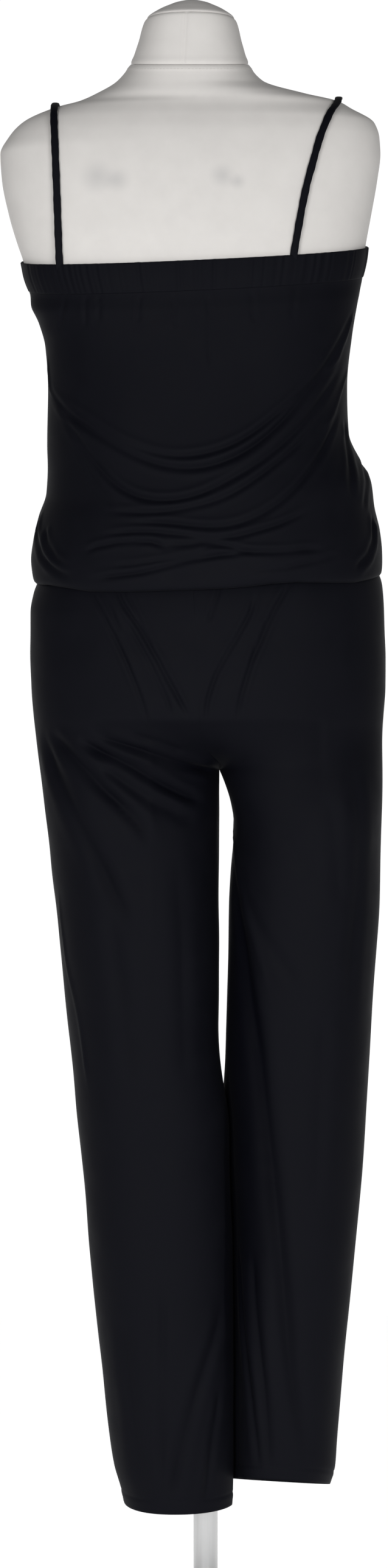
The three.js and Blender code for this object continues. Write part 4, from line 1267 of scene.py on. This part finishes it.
@dataclass(frozen=True)
class Coat:
    """A painted or brushed metal finish."""

    name: str
    colour: tuple[float, float, float]
    metallic: float
    roughness: float
    grain: tuple[float, float, float]

    def material(self) -> bpy.types.Material:
        """Makes the finish with a fine grain on Object coordinates."""
        shader = Shader(self.name)
        place = shader.node("ShaderNodeTexCoord").outputs["Object"]
        along = shader.node("ShaderNodeMapping", {"Vector": place, "Scale": self.grain})
        noise = shader.node("ShaderNodeTexNoise", {"Vector": along.outputs[0], "Scale": 1.0, "Detail": 4.0})
        grain = noise.outputs["Fac"]
        rough = shader.ranged(grain, (0.2, 0.8), (self.roughness - 0.06, self.roughness + 0.08))
        bump = shader.node("ShaderNodeBump", {"Strength": 0.06, "Distance": 0.0002, "Height": grain})
        shade = shader.blend(grain, (*self.colour, 1), (*(0.9 * part for part in self.colour), 1))
        shader.set(Base_Color=shade, Metallic=self.metallic, Roughness=rough, Normal=bump.outputs["Normal"])
        return shader.material


BLACK_JERSEY = Knit("black_viscose_jersey", (0.0023, 0.0025, 0.0046), (0.0030, 0.0032, 0.0055), 0.70, 0.07,
                    0.008, 0.4, 0.0007, 0.0009, 0.25, darkest=0.05)
PALE_COVER = Knit("pale_cotton_cover", (0.655, 0.634, 0.612), (0.628, 0.607, 0.586), 0.9, 0.25, 0.06, 0.5, 0.0008,
                  0.001, 0.18, smudges=((110, 1502, 22), (90, 1498, 17), (-17, 1502, 17), (-32, 1496, 11)))
SEWING_THREAD = Knit("pale_sewing_thread", (0.60, 0.58, 0.55), (0.58, 0.56, 0.53), 0.8, 0.25, 0.05, 0.5, 0.0004,
                     0.0006, 0.1)
POLE_STEEL = Coat("satin_pole_steel", (0.60, 0.60, 0.60), 0.75, 0.34, (400, 400, 12))
BASE_PAINT = Coat("satin_base_paint", (0.50, 0.505, 0.51), 0.1, 0.42, (300, 300, 300))


@dataclass
class Stand:
    """The pole and the round base plate with its collar."""

    pole_radius: float = 12.5
    pole_bottom: float = 3.3
    pole_top: float = FORM_BOTTOM - 0.3
    base_radius: float = 160.0
    base_thickness: float = 8.0
    collar_radius: float = 20.0
    collar_top: float = 46.0
    socket_floor: float = 3.0

    def build(self) -> list[bpy.types.Object]:
        """Makes the pole and the base.

        Returns:
            The two pieces.
        """
        return [self._pole(), self._base()]

    def _pole(self) -> bpy.types.Object:
        """Makes the pole with rounded ends."""
        bm = bmesh.new()
        length = self.pole_top - self.pole_bottom
        bmesh.ops.create_cone(bm, cap_ends=True, segments=96, radius1=self.pole_radius * MM,
                              radius2=self.pole_radius * MM, depth=length * MM)
        bmesh.ops.translate(bm, verts=bm.verts, vec=(0, 0, (self.pole_bottom + length / 2) * MM))
        rims = [edge for edge in bm.edges if abs(edge.verts[0].co.z - edge.verts[1].co.z) < 1e-6]
        bmesh.ops.bevel(bm, geom=rims, offset=0.8 * MM, segments=3, profile=0.5, affect="EDGES", material=-1)
        pole = new_object("pole", bm, POLE_STEEL.material())
        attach(pole, "root")
        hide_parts("stand_pole")
        return pole

    def _base(self) -> bpy.types.Object:
        """Turns the base plate and its collar in one piece."""
        rim = self.base_radius
        top = self.base_thickness
        socket = self.pole_radius + 0.3
        profile = [
            (0, 0), (rim - 2, 0), (rim - 0.6, 0.6), (rim, 2), (rim, top - 3), (rim - 0.9, top - 0.9),
            (rim - 3, top), (self.collar_radius + 4, top), (self.collar_radius + 1.2, top + 1.2),
            (self.collar_radius, top + 4),
            (self.collar_radius, self.collar_top - 2), (self.collar_radius - 0.6, self.collar_top - 0.6),
            (self.collar_radius - 2, self.collar_top), (socket, self.collar_top), (socket, self.socket_floor),
            (0, self.socket_floor),
        ]
        bm = bmesh.new()
        corners = [bm.verts.new((radius * MM, 0, height * MM)) for radius, height in profile]
        edges = [bm.edges.new(pair) for pair in zip(corners, corners[1:])]
        bmesh.ops.spin(bm, geom=corners + edges, cent=(0, 0, 0), axis=(0, 0, 1), angle=FULL_TURN, steps=128,
                       use_merge=True)
        bmesh.ops.remove_doubles(bm, verts=bm.verts, dist=0.01 * MM)
        bmesh.ops.recalc_face_normals(bm, faces=bm.faces)
        base = new_object("base_plate", bm, BASE_PAINT.material())
        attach(base, "root")
        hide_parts("stand_base")
        return base


@dataclass
class DressForm:
    """The covered form: torso, neck and domed cap."""

    columns: int = 220
    neck_columns: int = 420
    seam_half: float = 0.15
    stitch_length: float = 2.6
    stitch_pitch: float = 3.7
    stitch_below: float = 4.5

    def build(self) -> list[bpy.types.Object]:
        """Makes the three covered parts and the stitches at the neck.

        Returns:
            The pieces.
        """
        cover = PALE_COVER.material()
        torso = self._lofted("form_body", np.concatenate([
            np.linspace(FORM_BOTTOM, 957, 7), np.linspace(961, 1530, 130)[:-1],
            np.linspace(1530, 1618, 50)[:-1], np.linspace(1618, NECK_SEAM - self.seam_half, 16)]), cover,
            "form_torso", self.columns)
        neck = self._lofted("form_neck_sleeve", np.concatenate([
            np.linspace(NECK_SEAM + self.seam_half, 1638, 12)[:-1], np.linspace(1638, 1668, 16)[:-1],
            np.linspace(1668, CAP_EDGE - self.seam_half, 9)]), cover, "form_neck", self.neck_columns)
        cap = self._lofted("form_cap", np.concatenate([
            np.linspace(CAP_EDGE + self.seam_half, 1679, 8)[:-1], np.linspace(1679, 1690, 12)]), cover,
            "form_neck_cap", self.columns, dome=True)
        return [torso, neck, cap, self._stitches()]

    @staticmethod
    def _sewn_in(points: np.ndarray, heights: np.ndarray) -> np.ndarray:
        """Draws the cover in at the seams round the neck and up its back.

        Args:
            points: The cover's points.
            heights: The height of each ring.

        Returns:
            The points, drawn in.
        """
        middle = np.array([17.0, 1.0])
        out = unit(points[..., :2] - middle)
        depth = 0.9 * bell(heights - NECK_SEAM, 1.5) + 1.1 * bell(heights - CAP_EDGE, 1.4)
        swell = 0.35 * bell(np.abs(heights - NECK_SEAM) - 4.5, 2.4)
        on_neck = ease(NECK_SEAM, NECK_SEAM + 1, heights) * (1 - ease(CAP_EDGE - 1, CAP_EDGE, heights))
        seam_x = mix(22.7, 19.5, (heights - 1627) / (CAP_EDGE - 1627))[:, None]
        apart = points[..., 0] - seam_x
        groove = 0.8 * bell(apart, 1.2) - 0.25 * bell(np.abs(apart) - 3.4, 1.4)
        up_back = np.where(points[..., 1] > 0, groove, 0) * on_neck[:, None]
        drawn_in = (depth - swell)[:, None] + up_back
        points = points.copy()
        points[..., :2] -= out * drawn_in[..., None]
        return points

    def _stitches(self) -> bpy.types.Object:
        """Makes the row of topstitches just below the seam round the neck.

        Returns:
            The piece.
        """
        height = NECK_SEAM - self.stitch_below
        angles = np.linspace(0, FULL_TURN, 721)
        ring = self._sewn_in(form_point(height + 0 * angles, angles)[None], np.array([height]))[0]
        length = lengths_along(ring)
        bm = bmesh.new()
        for place in np.arange(0, length[-1] - self.stitch_pitch / 2, self.stitch_pitch):
            here, there = (np.array([np.interp(at, length, ring[:, axis]) for axis in range(3)])
                           for at in (place, place + self.stitch_length))
            ahead = Vector(there - here).normalized()
            made = bmesh.ops.create_icosphere(bm, subdivisions=1, radius=1)["verts"]
            bmesh.ops.scale(bm, vec=(0.34 * MM, 0.34 * MM, self.stitch_length / 2 * MM), verts=made)
            bmesh.ops.rotate(bm, cent=(0, 0, 0), matrix=ahead.to_track_quat("Z", "Y").to_matrix(), verts=made)
            bmesh.ops.translate(bm, vec=Vector((here + there) / 2 * MM), verts=made)
        piece = new_object("neck_topstitches", bm, SEWING_THREAD.material())
        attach(piece, "root")
        return piece

    def _lofted(self, name: str, heights: np.ndarray, cover: bpy.types.Material, node: str, columns: int,
                dome: bool = False) -> bpy.types.Object:
        """Lays the cover over a stretch of the form and closes its two ends.

        Args:
            name: The piece's name.
            heights: The heights of its rings, from the lowest up.
            cover: Its material.
            node: The CAD node that it stands for.
            columns: How many faces go round it.
            dome: Whether its top is domed.

        Returns:
            The piece.
        """
        angles = np.linspace(0, FULL_TURN, columns + 1)
        points = form_point(heights[:, None] + 0 * angles, angles + 0 * heights[:, None])
        points = self._sewn_in(points, heights)
        if dome:
            middle = np.array([14, 6, CAP_TOP])
            rim = points[-1]
            shares = np.linspace(0, 0.97, 9)[1:]
            crown = np.stack([mix(rim, middle, share) + (0, 0, 1) * np.array(
                [[(CAP_TOP - 1690) * (math.sin(share * HALF_TURN / 2) - share)]]) for share in shares])
            points = np.concatenate([points, crown])
        points = points[::-1]
        flat = np.stack([lengths_around(points), points[..., 2]], axis=-1)
        bm = moved_grid(points, flat, closed_around=True)
        bmesh.ops.recalc_face_normals(bm, faces=bm.faces)
        rims = [edge for edge in bm.edges if edge.is_boundary]
        bmesh.ops.holes_fill(bm, edges=rims, sides=0)
        piece = new_object(name, bm, cover)
        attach(piece, "root")
        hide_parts(node)
        return piece


@dataclass
class Garment:
    """The jumpsuit's cloth: band, bodice, trousers and straps."""

    bodice_last_outer_row: float = 306.0
    band_columns: int = 900
    strap_columns: int = 28
    hem_depth: float = 15.0
    hem_gap: float = 1.1

    def build(self) -> list[bpy.types.Object]:
        """Makes every cloth piece.

        Returns:
            The pieces.
        """
        self.jersey = BLACK_JERSEY.material()
        pieces = [self._band(), *self._bodice()]
        for cut, folds in ((LEFT_LEG, LEFT_LEG_FOLDS), (RIGHT_LEG, RIGHT_LEG_FOLDS)):
            pieces += self._leg(cut, folds)
        return pieces + [self._strap(route) for route in (LEFT_STRAP, RIGHT_STRAP)]

    def _cloth(self, name: str, points: np.ndarray, flat: np.ndarray, nodes: tuple[str, ...],
               cut: tuple[float, float], area: float | None, held: str, rests_on: list[str],
               walled: bool = True, tube: bool = False, shade: np.ndarray | None = None) -> bpy.types.Object:
        """Args:
            name: The piece's name.
            points: Its grid of points.
            flat: The points on the cloth as cut.
            nodes: The CAD nodes that it stands for.
            cut: The width and the length that it was cut to, in metres; not used.
            area: The cut's area in square metres, where it is no rectangle; not used.
            held: How it is held; not used.
            rests_on: What carries it; not used.
            walled: Whether it still needs its wall.
            tube: Whether it is a tube whose two ends are closed.
            shade: How much painted shade darkens each point.

        Returns:
            The piece.
        """
        bm = moved_grid(points, flat, shade=shade)
        bmesh.ops.remove_doubles(bm, verts=bm.verts, dist=0.002 * MM)
        if tube:
            bmesh.ops.holes_fill(bm, edges=[edge for edge in bm.edges if edge.is_boundary], sides=0)
            bmesh.ops.recalc_face_normals(bm, faces=bm.faces)
        for edge in bm.edges:
            edge.smooth = not edge.is_boundary
        piece = new_object(name, bm, self.jersey)
        if walled:
            wall = piece.modifiers.new("cloth wall", "SOLIDIFY")
            wall.thickness = JERSEY * MM
            wall.offset = 0
            wall.use_even_offset = False
        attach(piece, "root")
        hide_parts(*nodes)
        LOG.info("%s: %d faces", name, len(piece.data.polygons))
        return piece

    def _band(self) -> bpy.types.Object:
        """Makes the elasticated band, a doubled casing with rounded edges.

        Returns:
            The piece.
        """
        angles = np.linspace(0, FULL_TURN, self.band_columns + 1)
        half = BAND_CLOTH / 2
        turn = np.linspace(0, HALF_TURN, 7)[1:]
        below = np.concatenate([np.linspace(half, BAND_HEIGHT - half, 13), BAND_HEIGHT - half + half * np.sin(turn),
                                np.linspace(BAND_HEIGHT - half, half, 7)[1:], half - half * np.sin(turn)])
        out = np.concatenate([np.full(13, half), half * np.cos(turn), np.full(6, -half), -half * np.cos(turn)])
        grid_below = np.repeat(below[:, None], len(angles), axis=1)
        grid_angle = np.repeat(angles[None, :], len(below), axis=0)
        points = band_point(grid_below, grid_angle)
        size = FORM_SIZE(points[..., 2])
        around = lengths_around(points)
        outer = ease(-half, half, out)[:, None]
        stronger_above = 0.75 + 0.5 * (1 - below[:, None] / BAND_HEIGHT)
        pressed = self._gathers(points[0], around[0])[None, :] * outer * stronger_above
        puff = 0.55 * np.sin(HALF_TURN * below / BAND_HEIGHT)[:, None] * outer
        points = points + outward_on_section(size, grid_angle) * (out[:, None] + puff - pressed)[..., None]
        upper = outer * ease(0, 3, 3 - below)[:, None]
        points[..., 2] += 0.5 * upper * self._gathers(points[0], around[0])[None, :]
        lengths = np.concatenate([[0], np.cumsum(np.hypot(np.diff(below), np.diff(out)))])
        flat = np.stack([around, np.repeat(lengths[:, None], len(angles), axis=1)], axis=-1)
        return self._cloth("top_band", points, flat, ("band_back", "band_front"), (0.97, 0.031), None,
                           "stretched", ["form_body"], walled=False)

    @staticmethod
    def _gathers(edge: np.ndarray, around: np.ndarray) -> np.ndarray:
        """Tells how far the elastic's gathers press the band in at each place along it.

        Args:
            edge: The points of the band's upper edge.
            around: The length along it.

        Returns:
            The depth, below 0 on the little ridges between the gathers.
        """
        whole = around[-1]
        behind = np.flatnonzero(edge[:, 1] > 0)
        order = behind[np.argsort(edge[behind, 0])]
        rng = np.random.default_rng(5)
        placed = [(np.interp(x, edge[order, 0], around[order]), depth, reach) for x, depth, reach in BAND_GATHERS]
        scattered = [(rng.uniform(0, whole), rng.uniform(0.12, 0.42), rng.uniform(1.2, 3.0)) for _ in range(95)]
        total = np.zeros_like(around)
        for place, depth, reach in placed + scattered:
            apart = np.abs(around - place)
            apart = np.minimum(apart, whole - apart) / reach
            total += depth * (bell(apart, 1.0) - 0.4 * bell(apart - 1.9, 0.9))
        return np.clip(total, -0.7, 1.05)

    def _bodice(self) -> list[bpy.types.Object]:
        """Makes the blousing bodice's back and front.

        Returns:
            The two pieces.
        """
        back_rows = np.concatenate([np.linspace(0, 290, 154), np.linspace(290, 343, 18)[1:]])
        front_rows = np.concatenate([np.linspace(0, 290, 100), np.linspace(290, 343, 18)[1:]])
        panels = [
            Panel("bodice_back", bodice_point, back_rows, 0, HALF_TURN, 246),
            Panel("bodice_front", bodice_point, front_rows, HALF_TURN, FULL_TURN, 150),
        ]
        tube = Folded(panels, self.bodice_last_outer_row)
        tube.press(
            BODICE_FOLDS,
            fade=lambda panel: ease(0.5, 5, panel.down) * (1 - ease(290, 306, panel.down)),
            room=lambda panel: np.maximum(0, clear_of_form(panel.base, panel.outward) - 1.2),
            waves=0.6, seed=11)
        for panel in panels:
            panel.sewn(0.35, 0.35)
        sizes = {"bodice_back": (0.49, 0.343), "bodice_front": (0.51, 0.343)}
        return [self._cloth(panel.name + "_cloth", panel.points, panel.flat, (panel.name,), sizes[panel.name],
                            None, "gathered", ["top_band", "form_body"], shade=panel.shade) for panel in panels]

    def _leg(self, cut: LegCut, folds: list[Fold]) -> list[bpy.types.Object]:
        """Makes the back and the front of one leg.

        Args:
            cut: The leg's cut.
            folds: The folds of its back.

        Returns:
            The two pieces.
        """
        on_leg = np.linspace(290, cut.length - 24, 110)[1:]
        near_hem = np.linspace(cut.length - 24, cut.length, 17)[1:]
        back_rows = np.concatenate([np.linspace(0, 290, 144), on_leg, near_hem])
        front_rows = np.concatenate([np.linspace(0, 290, 96), on_leg, near_hem])
        panels = [
            Panel(f"trouser_back_{cut.name}", cut.point, back_rows, 0, 1, 148),
            Panel(f"trouser_front_{cut.name}", cut.point, front_rows, 0, -1, 80),
        ]
        for panel in panels:
            share = np.abs(panel.around)
            panel.softened(RISE + CROTCH_TURN, 26, ease(0.5, 0.7, share) * (1 - ease(0.94, 1, share)))
        tube = Folded(panels, cut.length)
        on_this_leg = [fold for fold in SEAT_FOLDS + FRONT_LEG_FOLDS if (fold.middle > 0) == cut.left]
        tube.press(
            folds + on_this_leg,
            fade=lambda panel: (ease(4, 30, panel.down) * (1 - 0.8 * ease(cut.length - 16, cut.length, panel.down))
                                * (1 - self._at_crotch(panel))),
            room=lambda panel: np.maximum(0, clear_of_form(panel.base, panel.outward) - 1.0),
            waves=0.6, seed=23 + cut.left)
        for panel in panels:
            # Adds painted shade below the form's edge, at the crotch and between the legs.
            panel.shade = panel.shade + painted_shade_below_form(panel.base) + self._painted_shade_between_legs(panel)
            panel.sewn(0.3, 0.1 * ease(cut.length - 700, cut.length - 790, panel.down))
            panel.turned_up(self.hem_depth, self.hem_gap)
        return [self._cloth(panel.name + "_cloth", panel.points, panel.flat, (panel.name,), (0.33, 0.98), 0.25,
                            "hung", ["bodice_back_cloth", "form_body"], shade=panel.shade) for panel in panels]

    @staticmethod
    def _at_crotch(panel: Panel) -> np.ndarray:
        """Tells how near each point of a trouser panel is to the seam's turn under the crotch."""
        turned = RISE + CROTCH_TURN
        turning = ease(RISE - 30, RISE + 30, panel.down) * (1 - ease(turned + 10, turned + 50, panel.down))
        return ease(0.9, 1, np.abs(panel.around)) * turning

    @staticmethod
    def _painted_shade_between_legs(panel: Panel) -> np.ndarray:
        """Gives the painted shade where the legs touch and the left leg's painted shadow on the right leg."""
        x, y, height = (panel.base[..., axis] for axis in range(3))
        inner = ease(0.92, 1, np.abs(panel.around)) ** 2
        touching = 0.7 * inner * (1 - ease(480, 560, height))
        outer = np.interp(height, (190, 310, 460, 620, 760, 840), (-50, -58, -66, -58, -40, -30))
        # Painted shadow of the left leg on the right leg's inner side.
        left_leg_shadow = ease(outer - 9, outer + 6, x) * ease(200, 420, height) * (1 - ease(690, 830, height))
        return touching + 0.75 * left_leg_shadow * (x < -19) * (y > 0)

    def _strap(self, route: StrapRoute) -> bpy.types.Object:
        """Makes a rouleau strap, a narrow tube of jersey that lies over the shoulder and is sewn into the band.

        Args:
            route: The way it takes.

        Returns:
            The piece.
        """
        middle = route.middle()
        ahead = unit(np.gradient(middle, axis=0))
        sideways = unit(np.array([1.0, 0, 0]) - ahead * ahead[:, :1])
        away = np.cross(sideways, ahead)
        length = lengths_along(middle)
        from_end = np.minimum(length, length[-1] - length)
        full = mix(0.42, 1.0, ease(2, 11, from_end))
        uneven = 1 + 0.04 * np.sin(length * 0.21) + 0.03 * np.sin(length * 0.53 + 1)
        turn = np.linspace(0, FULL_TURN, self.strap_columns + 1)
        wide = route.width / 2 * np.sign(np.cos(turn)) * np.abs(np.cos(turn)) ** 0.8
        thick = route.thickness / 2 * np.sign(np.sin(turn)) * np.abs(np.sin(turn)) ** 0.8
        seam = 0.35 * bell(turn - 0.12 * FULL_TURN, 0.16)
        points = (middle[:, None, :] + sideways[:, None, :] * (wide * uneven[:, None])[..., None]
                  + away[:, None, :] * ((thick - seam) * full[:, None])[..., None])
        around = lengths_along(np.stack([wide, thick], axis=1))
        flat = np.stack(np.broadcast_arrays(around[None, :], length[:, None]), axis=-1)
        return self._cloth(route.name + "_rouleau", points, flat, (route.name,), (0.010, round(length[-1] * MM, 3)),
                           None, "stretched", ["form_body", "top_band"], walled=False, tube=True)


@dataclass
class Studio:
    """The camera, the floor and the light."""

    distance: float = 3.6
    height: float = 1.05
    view_middle_x: float = 0.012
    view_middle_z: float = 0.884
    view_height: float = 1.623
    wall_light: float = 0.30
    ceiling_light: float = 0.05
    lighter_on_left: float = 0.04
    lighter_behind: float = 4.0
    white_behind: float = 1.06
    floor_reach: float = 1.7
    floor_glow: float = 0.79
    lamp_size: float = 1.2
    lamp_aim: tuple[float, float, float] = (0, 0, 0.95)

    def build(self) -> None:
        """Sets up the camera, the floor and the lights."""
        self._camera()
        self._floor()
        self._lights()

    def _camera(self) -> None:
        """Places the camera behind the wearer, level, at the photo's height."""
        camera = bpy.data.cameras.new("camera")
        camera.sensor_fit = "VERTICAL"
        camera.sensor_height = 36
        camera.lens = 36 * self.distance / self.view_height
        camera.shift_y = (self.view_middle_z - self.height) / self.view_height
        camera.clip_start = 0.05
        eye = bpy.data.objects.new("camera", camera)
        eye.location = (self.view_middle_x, self.distance, self.height)
        eye.rotation_euler = (HALF_TURN / 2, 0, HALF_TURN)
        bpy.context.scene.collection.objects.link(eye)
        bpy.context.scene.camera = eye

    def _floor(self) -> None:
        """Lays a plain pale floor."""
        bm = bmesh.new()
        bmesh.ops.create_circle(bm, cap_ends=True, segments=96, radius=self.floor_reach)
        bmesh.ops.translate(bm, verts=bm.verts, vec=(0, 0, -0.0002))
        shader = Shader("pale_floor")
        shader.set(Base_Color=(0.85, 0.85, 0.85, 1), Roughness=0.95, Specular_IOR_Level=0.1,
                   Emission_Color=(1, 1, 1, 1), Emission_Strength=self.floor_glow)
        floor = new_object("floor", bm, shader.material)

    def _lights(self) -> None:
        """Lights the part softly from the camera's side, with a white room around it."""
        world = bpy.data.worlds.new("white room")
        world.use_nodes = True
        nodes = Nodes(world.node_tree)
        background = nodes.tree.nodes["Background"]
        background.inputs["Color"].default_value = (1, 1, 1, 1)
        seen = nodes.node("ShaderNodeLightPath").outputs["Is Camera Ray"]
        place = nodes.node("ShaderNodeTexCoord").outputs["Generated"]
        parts = nodes.node("ShaderNodeSeparateXYZ", {0: place}).outputs
        room = nodes.ranged(parts["Z"], (0.0, 0.9), (self.wall_light, self.ceiling_light))
        sideways = nodes.math("MULTIPLY_ADD", parts["X"], self.lighter_on_left, 1.0)
        behind = nodes.ranged(parts["Y"], (-0.95, -0.3), (self.lighter_behind, 1.0))
        whole = nodes.math("MULTIPLY", nodes.math("MULTIPLY", room, sideways), behind)
        strength = nodes.node("ShaderNodeMix", {0: seen, 2: whole, 3: self.white_behind})
        nodes.tree.links.new(strength.outputs[0], background.inputs["Strength"])
        bpy.context.scene.world = world
        for name, side, power in (("left soft box", 1, 56), ("right soft box", -1, 50)):
            place = (side * 1.25, 3.3, 1.1)
            lamp = bpy.data.lights.new(name, "AREA")
            lamp.shape = "SQUARE"
            lamp.size = self.lamp_size
            lamp.energy = power
            light = bpy.data.objects.new(name, lamp)
            light.location = place
            aim = Vector(self.lamp_aim) - Vector(place)
            light.rotation_euler = aim.to_track_quat("-Z", "Y").to_euler()
            bpy.context.scene.collection.objects.link(light)
        bpy.context.scene.view_settings.view_transform = "Standard"


def main() -> None:
    """Builds everything in order."""
    logging.basicConfig(level=logging.INFO, format="%(message)s")
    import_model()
    Studio().build()
    for part in (Stand(), DressForm(), Garment()):
        pieces = part.build()
        LOG.info("%s: %s", type(part).__name__, ", ".join(piece.name for piece in pieces))


if __name__ == "__main__":
    main()
